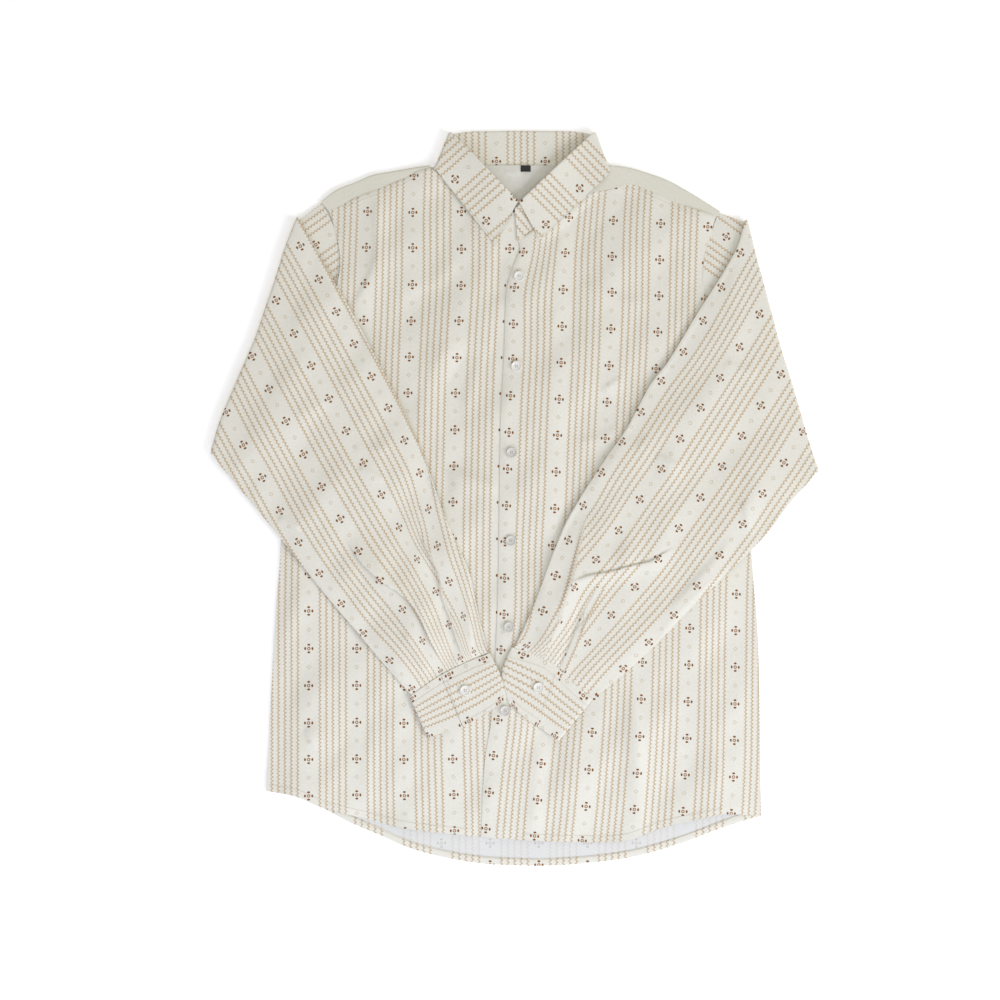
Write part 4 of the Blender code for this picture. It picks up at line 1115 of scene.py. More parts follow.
@dataclass
class Yoke:
    """Outer yoke over the shoulder folds, its facing in the neck, and the bare tag."""

    lay: Layout = LAY
    roll: float = 1.35
    fine: int = 5  # cells of cloth for each cell of the coarse grid, both ways
    back_ends: Point = (-190, 207)  # where its seam with the back begins and ends
    facing_wall: float = 1.0  # of the solid
    facing_shell: float = 0.6  # of the cloth on it
    opening: tuple[Line, Line] = (((297, -20), (360, -85)), ((295, 27), (360, 101)))  # y, x of its edges
    facing_inset: float = 12.0
    facing_low: float = 306.0
    tag_corners: tuple[Point, Point] = ((6.7, 352.8), (17.4, 359.6))
    tag_wall: float = 0.5
    facing_folds: tuple[Crease, ...] = (
        Crease(((-36, 355), (-26, 352.5), (-8, 350.5), (10, 352)), 5, 2, 1.1),
        Crease(((-38, 350), (-20, 338), (4, 328)), 4, 6, 0.9),
        Crease(((22, 352), (34, 343), (30, 330)), 3, 6, 1.0))

    def outer_grid(self) -> tuple[Array, Array]:
        """The coarse grid of the outer yoke.

        Returns:
            Points as rows, columns, 3, and the cells that are there.
        """
        lay = self.lay
        wing, middle = 6, 8
        right_fold = curve(lay.yoke_fold_right, wing)
        left_fold = curve(lay.yoke_fold_left, wing)
        inner_y = lay.neck_seam_y - 1.2
        neck = np.stack([np.linspace(right_fold[-1, 0], left_fold[0, 0], middle + 1),
                         np.full(middle + 1, inner_y)], axis=1)
        fold = joined(right_fold, neck, left_fold)
        fold[wing, 1] = fold[-wing - 1, 1] = inner_y
        right_seam = curve(lay.yoke_seam_right, wing)
        left_seam = curve(lay.yoke_seam_left, wing)
        seam = joined(right_seam, np.linspace(right_seam[-1], left_seam[0], middle + 1), left_seam)
        back_x = np.interp(share(fold), [0, 1], self.back_ends)
        rows = []
        for part in np.linspace(0, 1, 5):
            y = lay.yoke_back_y + (fold[:, 1] - self.roll - lay.cloth / 2 - lay.yoke_back_y) * part
            x = back_x + (fold[:, 0] - back_x) * part
            rows.append(np.stack([x, y, lay.back_z + lay.neck_lift(x, y)], axis=1))
        low = rows[-1][:, 2]
        high = np.maximum(lay.front_z(fold[:, 0], fold[:, 1] - 3), low + 2 * self.roll)
        for angle in (-45, 0, 45):
            turn = math.radians(angle)
            rows.append(np.stack([fold[:, 0],
                                  fold[:, 1] - lay.cloth / 2 - self.roll * (1 - math.cos(turn)),
                                  low + (high - low) / 2 * (1 + math.sin(turn))], axis=1))
        start = np.stack([fold[:, 0], fold[:, 1] - self.roll - lay.cloth / 2 - 0.4, high], axis=1)
        end = np.stack([seam[:, 0], seam[:, 1], lay.front_z(seam[:, 0], seam[:, 1])], axis=1)
        for part in (0, 0.5, 1):
            rows.append(start + (end - start) * part)
        grid = np.array(rows)
        keep = np.ones((len(grid) - 1, grid.shape[1] - 1), bool)
        keep[4:, wing:wing + middle] = False
        return grid, keep

    def build(self) -> None:
        """Builds the yoke, its facing and the tag."""
        coarse, keep = self.outer_grid()
        grid, _ = evenly(coarse, keep.shape[0] * self.fine + 1, keep.shape[1] * self.fine + 1)
        keep = np.repeat(np.repeat(keep, self.fine, axis=0), self.fine, axis=1)
        obj = cloth_sheet("yoke_cloth", grid, grid[..., :2], (FACING_CLOTH, YOKE_CLOTH), WALL, keep=keep)
        finish_piece(obj, Slot.PLAIN, "yoke_outer")
        self.build_facing()
        self.build_tag()

    def facing_z(self, x: Array, y: Array) -> Array:
        """Middle of the yoke facing, which lies on the yoke."""
        lay = self.lay
        return lay.back_z + lay.neck_lift(x, y) + lay.cloth / 2 + 0.4 + self.facing_wall / 2

    def build_facing(self) -> None:
        """The plain cloth seen through the neck."""
        rows = []
        for y in np.linspace(self.facing_low, self.lay.neck_seam_y - 1.2, 40):
            left, right = (np.interp(y, *np.transpose(edge)) for edge in self.opening)
            x = np.linspace(left + self.facing_inset, right - self.facing_inset, 60)
            rows.append(np.column_stack([x, np.full(60, y), self.facing_z(x, y)]))
        grid = np.array(rows)
        push = crease_push(grid[..., 0], grid[..., 1], self.facing_folds)
        grid[..., 2] += np.maximum(push[..., 2], 0)
        finishes = (FACING_CLOTH, FACING_CLOTH)
        obj = cloth_sheet("yoke_facing_cloth", grid, grid[..., :2], finishes, self.facing_shell)
        finish_piece(obj, Slot.FACING, "yoke_inner")

    def build_tag(self) -> None:
        """The bare black tag sewn in at the neck seam."""
        (left, low), (right, high) = self.tag_corners
        x, y = np.meshgrid(np.linspace(left, right, 12), np.linspace(low, high, 8))
        height = self.facing_z(x, y) + self.facing_wall / 2 + 0.6
        height = height + 0.15 * np.sin((x - left) / (right - left) * math.pi)
        obj = cloth_sheet("neck_tag_tape", lifted(np.stack([x, y], axis=2), height),
                          np.stack([x, y], axis=2), (WovenTape(), WovenTape()), self.tag_wall)
        finish_piece(obj, Slot.TAPE, "neck_tag")


# ---------------------------------------- sleeves


@dataclass
class Sleeve:
    """A flattened tube from the armhole out to its fold and back over the front to the cuff."""

    name: str
    side: int  # -1 on the left seen from above, 1 on the right
    fold: Line
    inner: Line
    outer: Line
    cuff: Line
    shoulder: Point
    armhole: Line
    print_map: PrintMap
    head_print: PrintMap
    pleat: Line  # the fold that hides a part of the print
    pleat_left: Marks  # marks that hold on its left only
    pleat_right: Marks
    creases: tuple[Crease, ...]
    end_z: float = 6.7  # just under the cuff's top layer
    lay: Layout = LAY
    armhole_inset: float = 1.6
    shoulder_inset: Point = (1.2, 3.0)
    start_depth: float = 0.72  # how far the tube starts under the front's middle
    hidden_rings: int = 4
    fold_rings: int = 5
    over_rings: int = 18
    across: int = 9

    def layer_heights(self, x: Array, y: Array, u: Array, t: float) -> tuple[Array, Array]:
        """Heights of the two layers that lie on the front.

        Args:
            x: Plan X of a crossing line.
            y: Plan Y of it.
            u: Share of the way across, 0 to 1.
            t: Share of the way down the sleeve.

        Returns:
            Middle heights of the inner and the outer layer.
        """
        lay = self.lay
        near_fold = 1 - smooth(t / 0.12)
        rest = lay.body_top(x, y) + lay.sleeve_rest + lay.cloth / 2
        low = lay.fold_axis + lay.fold_inner
        inner = np.maximum(rest, low - 0.6) * (1 - near_fold) + low * near_fold
        puff = lay.sleeve_puff * np.sin(np.pi * u) ** 0.8 * smooth(t / 0.15)
        puff = puff * (1 - 0.5 * smooth((t - 0.8) / 0.2))
        folds = fold_heights(x, y, lay.sleeve_folds) * smooth(u / 0.1) * smooth((1 - u) / 0.1)
        return inner, inner + np.maximum(lay.sleeve_layers + puff + folds, lay.cloth + 0.9)

    @staticmethod
    def shrunk(line: Array, ends: float) -> Array:
        """A crossing line pulled in at both ends by so many mm, keeping its shape."""
        line = np.asarray(line, float)
        total, places = distances(line)[-1], share(line)
        wanted = ends / total + places * (1 - 2 * ends / total)
        return np.stack([np.interp(wanted, places, line[:, k]) for k in range(2)], axis=1)

    @staticmethod
    def ring(plan: Array, inner_z: Array, outer_z: Array, push: tuple[Array, Array] | None = None) -> Array:
        """One ring of the tube: outer layer, round the edge, inner layer and round again.

        Args:
            plan: Plan points of the crossing line.
            inner_z: Heights of the inner layer.
            outer_z: Heights of the outer layer.
            push: Plan offsets of the inner and the outer layer.

        Returns:
            The ring's points.
        """
        first, last = unit(plan[0] - plan[1]), unit(plan[-1] - plan[-2])
        push = push or (np.zeros_like(plan), np.zeros_like(plan))
        outer = np.column_stack([plan + push[1], outer_z])
        inner = np.column_stack([plan + push[0], inner_z])

        def side(k: int, direction: Array, start: Array, end: Array) -> list:
            middle, half = (start[k] + end[k]) / 2, (start[k] - end[k]) / 2
            out = np.append(direction, 0) * np.linalg.norm(half)
            angles = (math.pi / 4, math.pi / 2, 3 * math.pi / 4)
            return [middle + half * math.cos(a) + out * math.sin(a) for a in angles]

        return np.vstack([outer, side(-1, last, outer, inner), inner[::-1], side(0, first, inner, outer)])

    def coarse_rings(self) -> Array:
        """The rings of the solid."""
        lay, n = self.lay, self.across
        edge_round = (lay.fold_outer - lay.fold_inner) / 2 + lay.cloth / 2
        start = curve(self.armhole[::-1], n - 1)
        start[:, 0] -= self.side * self.armhole_inset
        start[0] = self.shoulder - np.array((self.side, 1)) * self.shoulder_inset
        start = self.shrunk(start, edge_round)
        fold = curve(self.fold, n - 1)
        out = beside(fold)
        if (out[:, 0].mean() > 0) != (self.side > 0):  # away from the body
            out = -out
        fold = self.shrunk(fold - out * (lay.fold_outer + lay.cloth / 2), edge_round)
        rings = []
        low_in, low_out = lay.fold_axis - lay.fold_inner, lay.fold_axis - lay.fold_outer
        for k in range(self.hidden_rings):
            part = k / self.hidden_rings
            top = low_in * part + (lay.front_z(start[:, 0], start[:, 1]) - self.start_depth) * (1 - part)
            rings.append(self.ring(start * (1 - part) + fold * part, top, np.full(n, low_out)))
        for k in range(self.fold_rings):
            turn = math.pi * (k + 0.5) / self.fold_rings
            reach = (lay.fold_inner, lay.fold_outer)
            push = tuple(out * r * math.sin(turn) for r in reach)
            heights = [np.full(n, lay.fold_axis - r * math.cos(turn)) for r in reach]
            rings.append(self.ring(fold, *heights, push))
        whole = patch(curve(self.fold, n - 1), curve(self.cuff, n - 1), curve(self.inner, self.over_rings),
                      curve(self.outer, self.over_rings))
        u = np.linspace(0, 1, n)
        for k in range(1, self.over_rings + 1):
            plan = self.shrunk(whole[k], edge_round)
            inner, outer = self.layer_heights(plan[:, 0], plan[:, 1], u, k / self.over_rings)
            rings.append(self.ring(plan, inner, outer))
        grid = np.array(rings)
        return grid[:, ::-1] if self.side > 0 else grid

    def build(self) -> Piece:
        """The sleeve as one tube of cloth.

        Returns:
            The finished object.
        """
        coarse = self.coarse_rings()
        n = self.across
        dense, sparse = np.linspace(0, n - 1, 112)[:-1], np.linspace(0, n - 1, 25)[:-1]
        turn = np.linspace(0, 4, 9)[:-1]
        if self.side < 0:
            columns = np.concatenate([dense, n - 1 + turn, n + 3 + sparse, 2 * n + 2 + turn])
        else:
            columns = np.concatenate([turn - 1 + 1e-9, 3 + sparse, n + 2 + turn, n + 6 + dense])
            columns = np.where(columns < 0, columns + 2 * n + 6, columns)
        columns = np.append(columns, columns[0])
        start, fold = self.hidden_rings, self.hidden_rings + self.fold_rings
        rows = np.concatenate([np.linspace(0, start, 13)[:-1], np.linspace(start, fold, 21)[:-1],
                               np.linspace(fold, len(coarse) - 1, 171)])
        grid = refined(coarse, rows, columns, wrap=True)
        up = smooth((normals(grid, True)[..., 2] - 0.1) / 0.5)
        x, y = grid[..., 0], grid[..., 1]
        over = smooth((rows - fold) / 1.2)[:, None]
        edge = smooth(distance_to(x, y, self.inner) / 7) * smooth(distance_to(x, y, self.outer) / 7)
        push = crease_push(x, y, self.creases)
        push[..., 2] += ripple_heights(x, y)
        grid = grid + push * (up * over * edge)[..., None]
        into_cuff = smooth((rows - rows[-1]) / 0.3 + 1)[:, None] * up
        flat = self.lay.body_top(x, y) + self.lay.sleeve_rest + self.lay.cloth / 2 + 0.6
        low = np.where((up * over) > 0.5, np.maximum(flat, grid[..., 2]), grid[..., 2])
        grid[..., 2] = low + (np.maximum(flat, self.end_z) - low) * into_cuff
        places = self.print_places(grid, rows)
        obj = cloth_sheet(self.name + "_cloth", grid, places, OUTSIDE, WALL, wrap=True)
        finish_piece(obj, Slot.PRINTED, self.name)
        return obj

    def print_places(self, grid: Array, rows: Array) -> Array:
        """The print on the tube: the part under the fold comes from the tube's other side.

        Args:
            grid: The fine rings.
            rows: Each ring's place among the coarse rings.

        Returns:
            Millimetres across and along the print at each point.
        """
        x, y = grid[..., 0], grid[..., 1]
        below = (rows < self.hidden_rings + self.fold_rings / 2)[:, None, None]
        line = np.array(self.pleat, float)[::-1]
        on_right = (x > np.interp(y, line[:, 1], line[:, 0]))[..., None]
        left = PrintMap(self.print_map.marks + self.pleat_left).at(x, y)
        right = PrintMap(self.print_map.marks + self.pleat_right).at(x, y)
        return np.where(below, self.head_print.at(x, y), np.where(on_right, right, left))


SLEEVE_RIGHT = Sleeve(
    name="sleeve_right", side=-1,
    fold=((-236, 302), (-242, 290), (-250, 265), (-261, 230), (-273, 195), (-285, 161), (-301, 127),
          (-314, 92), (-324, 72), (-328, 51)),
    inner=((-236, 302), (-222, 279), (-204, 249), (-174, 198), (-153, 158), (-126, 106), (-99, 48),
           (-74, -21), (-49, -78), (-40, -118), (-28, -165)),
    outer=((-328, 51), (-305, 23), (-281, -6), (-250, -44), (-209, -96), (-160, -155), (-127, -194),
           (-110, -213)),
    cuff=((-28, -165), (-48, -175), (-80, -191), (-110, -213)),
    shoulder=(-208, 322), armhole=LAY.armhole_right,
    print_map=PrintMap((
        (0, 0, ((-230.6, 272.2), (-210.6, 236.5), (-191.9, 201.6), (-173, 167.2), (-154, 131.8),
                (-136, 98.3), (-118.7, 63.1), (-101.5, 28.3), (-93.4, -10.8), (-83.1, -50.5))),
        (-1, 1, ((-256.6, 213.9), (-237.1, 177.9), (-218.7, 143.7), (-199.8, 108.1), (-181.2, 73.4),
                 (-162.3, 38.9), (-143.3, 4.8), (-123.7, -30.2))),
        (-2, 2, ((-282.4, 153.6), (-264.4, 118.2), (-245.8, 83.9), (-227.3, 48.2), (-207.5, 13.2),
                 (-187.6, -21.3), (-168.4, -56.2), (-145.3, -87.5))),
        (-2, 10, ((-120.4, -118.4), (-98.8, -152.3), (-78.7, -184.7))),
        (-3, 4, ((-291.8, 58.1), (-271.6, 23.1), (-252.7, -12.6), (-232.5, -46.4), (-210.1, -79.9),
                 (-186.3, -112.3), (-163.6, -144.7))))),
    head_print=PrintMap(((0, 0, ((-214.4, 274.3),)), (0, 0.5, ((-199.3, 285.1),)),
                         (1, 0, ((-183.8, 231.5),)))),
    pleat=((-102, -40), (-99, -46), (-89, -63.5), (-81, -82.7), (-77, -104), (-70, -123.5),
           (-63, -145), (-54.6, -169), (-50, -190)),
    pleat_left=((-1, 9, ((-103.8, -64.3), (-84.8, -99.6), (-71.3, -135.5), (-59.9, -171.7))),
                (0, 10, ((-35.3, -81.7), (-21.8, -117.6), (-10.4, -153.8)))),
    pleat_right=((0, 10, ((-69.7, -88.6), (-55, -126.4), (-45.5, -164.7))),
                 (-1, 10, ((-119.2, -106.5), (-104.5, -144.3), (-95, -182.6)))),
    creases=(
        Crease(((-185, -42), (-165, -60), (-139, -84), (-123, -94), (-109, -106), (-98, -120),
                (-91, -134), (-86, -150), (-78, -178)), 10, 2.2, 4.9, 1.3),
        Crease(((-104, -30), (-97, -46), (-87, -63.5), (-79, -82.7), (-75, -104), (-68, -123.5),
                (-61, -145), (-51, -180)), 9, 2.4, 2.6, 1.2),
        Crease(((-110, -50), (-100, -66), (-90, -84), (-84, -104), (-78, -126), (-70, -148),
                (-60, -180)), 5, 8, -1.5),
        Crease(((-67, -46), (-60.7, -58.6), (-52, -87.5), (-50, -113.8), (-48.7, -144.7),
                (-44, -176)), 2.2, 5, 1.8, 1.0),
        Crease(((-40, -100), (-34, -130), (-27, -168)), 4, 5, -2.0),
        Crease(((-170, 34), (-153, 25), (-138, 17)), 5, 3, 1.5),
        Crease(((-256, -20), (-242, -27), (-229, -33)), 5, 3, 1.6),
        Crease(((-120, -140), (-104, -165), (-90, -190)), 3, 6, 1.8),
        Crease(((-200, 110), (-214, 96), (-236, 88)), 6, 8, 1.0),
        Crease(((-130, 60), (-150, 52), (-176, 54)), 6, 9, 0.9)))
SLEEVE_LEFT = Sleeve(
    name="sleeve_left", side=1,
    fold=((252, 299), (262, 258), (275, 210), (288, 161), (301, 120), (315, 71), (328, 31)),
    inner=((252, 299), (240, 270), (220, 235), (194, 194), (168, 151), (144, 119), (125, 82),
           (103, 50), (72, 3), (53, -30), (30, -89), (17, -123), (-1, -160)),
    outer=((328, 31), (298, -1), (272, -36), (236, -73), (193, -114), (157, -152), (131, -177),
           (99, -204), (82, -217)),
    cuff=((-1, -160), (21, -170), (38, -178), (48, -188), (61, -200), (82, -217)),
    shoulder=(221, 311), armhole=LAY.armhole_left,
    print_map=PrintMap((
        (0, 0, ((243, 265), (222.7, 227.9), (203, 191.8), (182, 158.2), (157.8, 127.4))),
        (1, 1, ((263.6, 199), (241.8, 163.4), (220.9, 130.1), (200.1, 98.3), (177.7, 64.8),
                (158.2, 32.4), (134.5, -0.4), (111.8, -33.5))),
        (2, 2, ((286.7, 134.1), (264.8, 100.4), (244.6, 68), (223.7, 35), (199.8, 1.4),
                (176.6, -31.3), (154.4, -64.6), (129.4, -94.5), (104, -125))),
        (3, 3, ((310.5, 72.7), (290, 38.9), (266.2, 5.8), (245.5, -27), (220.4, -60.5),
                (196, -93.5), (171.7, -125))),
        (0, 5, ((136, 93.3), (115.5, 62), (93, 28.5), (74, -7.1))),
        (2, 11, ((78.3, -155), (51.8, -183.6))),
        (3, 12, ((91.3, -212.8),)))),
    head_print=PrintMap(((0, 0, ((228.4, 283),)), (0, 0.5, ((213.3, 293.8),)),
                         (1, 0, ((197.8, 240.2),)))),
    pleat=((80, -8), (76, -22.7), (68, -60), (62, -87.5), (55.6, -104.8), (49, -130.7), (40, -152),
           (30.8, -171.7), (22, -195)),
    pleat_left=((0, 9, ((57.8, -44.3), (43.3, -82.7), (28.6, -120.3), (14.6, -158.8))),
                (1, 10, ((92.4, -101.4), (77.7, -139), (63.7, -177.5)))),
    pleat_right=((1, 9, ((87.6, -65.4), (63.6, -94.3), (48.4, -130.7), (22.1, -171.7))),
                 (0, 10, ((18.8, -66.7), (3.6, -103.1), (-22.7, -144.1)))),
    creases=(
        Crease(((54, -93), (79, -85), (105, -80), (122, -75), (148, -69), (163, -59), (178, -50)),
               1.7, 8, 2.6, 0.9),
        Crease(((80, -10), (76, -23), (68, -60), (62, -87), (55, -105), (49, -130), (40, -152),
                (29, -178)), 6, 2.6, 1.0, 0.8),
        Crease(((32, -78), (15, -109), (8, -134), (-3, -166)), 5, 5, -1.9),
        Crease(((72, -104), (64, -134), (52, -166), (42, -190)), 5, 3, -1.4),
        Crease(((150, 47), (165, 40), (179, 33)), 4, 5, 1.5),
        Crease(((246, 27), (257, 16), (268, 4)), 4, 4, 1.3),
        Crease(((246, 0), (250, -16), (253, -36)), 4, 4, 1.4),
        Crease(((162, -126), (202, -82), (222, -59), (236, -38)), 4, 7, 1.3),
        Crease(((112, 88), (126, 74), (140, 60)), 7, 9, -1.7),
        Crease(((226, 150), (240, 140), (262, 138)), 5, 8, 1.0)))


@dataclass
class SlitBinding:
    """The printed strip that binds the sleeve's slit, closed by a stitched box at its end."""

    name: str = "sleeve_placket_left"
    line: Line = ((93, -96), (86, -108), (79, -121), (73, -133), (68, -146), (63, -159), (57, -172),
                   (52, -184))
    width: float = 8.5
    wall: float = 0.6
    rows: int = 40
    columns: int = 9
    box_stitch: Point = (1.3, 0.4)  # a stitch's length and gap
    first_x: float = 3.6  # mm in the print: plain ground first, then one zigzag at the edge

    def build(self, sleeve: Piece) -> None:
        """Lays the strip on the finished sleeve."""
        centre = curve(self.line, self.rows)
        sides = np.linspace(-0.5, 0.5, self.columns)
        plan = centre[:, None] + beside(centre)[:, None] * (sides * self.width)[None, :, None]
        base = np.array([[height_on(sleeve, x, y) for x, y in row] for row in plan])
        rise = 0.45 + 0.9 * np.exp(-((sides - 0.36) / 0.12) ** 2)
        rise = rise * np.minimum(1, 0.5 + 3 * share(centre))[:, None]
        rise[:, 0] -= 0.35
        places = np.stack(np.broadcast_arrays(self.first_x + (sides + 0.5)[None] * self.width * 1.15,
                                              share(centre)[:, None] * 95), axis=2)
        obj = cloth_sheet(self.name + "_cloth", lifted(plan, base + rise)[:, ::-1], places[:, ::-1],
                          OUTSIDE, self.wall)
        finish_piece(obj, Slot.PRINTED, self.name)
        a, b, c, d = (tuple(plan[row, column]) for row, column in ((13, 1), (13, 7), (21, 7), (21, 1)))
        stitch_all("slit_box", ((a, b), (b, c), (c, d), (d, a), (a, c), (b, d)), obj, *self.box_stitch)


# ---------------------------------------- cuffs


@dataclass
class Cuff:
    """A band bent round: it starts under its own end, runs round both sides and stops on top."""

    name: str
    side: int
    seam: Line
    free: Line
    overlap: float  # share of the width at which the top end stops
    first_cross: float  # mm of the print at the hidden end
    top_cross: float  # and where the top layer starts
    bulge: float
    stitches: tuple[Line, ...]
    lay: Layout = LAY
    over_sleeve: float = 0.06
    edge_drop: float = 1.2  # the top layer's seam edge bends down onto the sleeve
    under: float = 0.32
    layer_step: float = 1.35
    top_step: float = 1.15

    def grid(self) -> tuple[Array, Array]:
        """The band's points, and the print's place on them.

        Returns:
            Points as rows, columns, 3, and millimetres across and along the print.
        """
        seam, free = curve(self.seam, 20), curve(self.free, 20)
        if self.side > 0:
            seam, free = seam[::-1], free[::-1]
        middle = (seam + free) / 2
        floor = max(self.lay.body_top(middle[:, 0], middle[:, 1])) + 0.5 + self.lay.cloth / 2
        low, mid = floor, floor + self.layer_step
        high = mid + self.top_step
        # round the band, from its hidden end to its top end: share of the width, and height
        path = [(s, mid) for s in np.linspace(self.overlap + self.under, 0.03, 7)]
        path += [(0.004, (low + mid) / 2)]
        path += [(s, low) for s in np.linspace(0.03, 0.97, 9)]
        path += [(0.998, (low + high) / 2)]
        path += [(s, high) for s in np.linspace(0.965, self.overlap, 6)]
        s_values, z_values = np.array(path).T
        stations = np.linspace(0, 1, 21)
        rows = []
        towards = unit(seam[-1] + free[-1] - seam[-4] - free[-4])
        for v in np.linspace(-self.over_sleeve, 1, 5):
            line = seam * (1 - v) + free * v
            push = self.bulge * math.sin(math.pi * max(v, 0)) * smooth((stations - 0.6) / 0.4)
            line = line + push[:, None] * towards
            drop = (v < 0) * np.where(z_values > mid + 0.1, self.edge_drop, 0.25 * (z_values > low + 0.1))
            rows.append(np.column_stack([np.interp(s_values, stations, line[:, 0]),
                                         np.interp(s_values, stations, line[:, 1]), z_values - drop]))
        coarse = np.array(rows)
        if self.side > 0:
            coarse = coarse[:, ::-1]
        fine, places = evenly(coarse, 33, 139)
        along = distances((fine[0] + fine[-1]) / 2)
        across = np.linspace(-self.over_sleeve, 1, len(fine)) * PrintMap.PERIOD * 1.03
        top = smooth((places - 8) / 8) if self.side < 0 else smooth((places[::-1] - 8) / 8)
        if self.side > 0:
            along = along[-1] - along
        along = along + self.first_cross + (self.top_cross - self.first_cross) * top
        return fine, np.stack(np.broadcast_arrays(across[:, None], along[None]), axis=2)

    def build(self) -> None:
        """The cuff's cloth and its stitches."""
        grid, print_at = self.grid()
        obj = cloth_sheet(self.name + "_cloth", grid, print_at, BOTH_SIDES, DOUBLE_WALL)
        finish_piece(obj, Slot.PRINTED, self.name)
        stitch_all(f"{self.name}_stitches", self.stitches, obj)


CUFFS = (
    Cuff(name="cuff_right", side=-1, seam=((-112, -215.5), (-80, -194), (-48, -178), (-26, -169)),
         free=((-94, -257), (-60, -246), (-28, -229), (-9, -214)),
         overlap=0.42, first_cross=9.3, top_cross=21.0, bulge=2.9,
         stitches=(((-109, -219), (-80, -200), (-48, -184), (-26, -175)),
                   ((-72, -196), (-64, -222), (-57, -242)),
                   ((-56, -241), (-27, -224), (-11, -211)))),
    Cuff(name="cuff_left", side=1,
         seam=((-3, -163), (21, -171.5), (38, -179.5), (62, -201.5), (82, -218)),
         free=((-7, -219), (12, -236), (28, -247), (48, -260)),
         overlap=0.40, first_cross=25.4, top_cross=37.2, bulge=9.7,
         stitches=(((-6, -170), (19, -177), (36, -185), (59, -206), (77, -222)),
                   ((44, -188), (36, -212), (29, -228)),
                   ((-3, -214), (8, -225), (26, -237)))))


# ---------------------------------------- collar


@dataclass(frozen=True)
class CollarHalf:
    """One front half of the flattened collar."""

    front_roll: Point
    side_roll: Point
    front_tip: Point
    side_tip: Point
    stand_end: tuple[Point, Point]
    side: int
    leaf_print: PrintMap


Begin = Callable[[CollarHalf, int], Array]  # where a row begins at the front end
Rise = Callable[[CollarHalf, int, float, float, float], float]  # height: row, share of the way, plan point


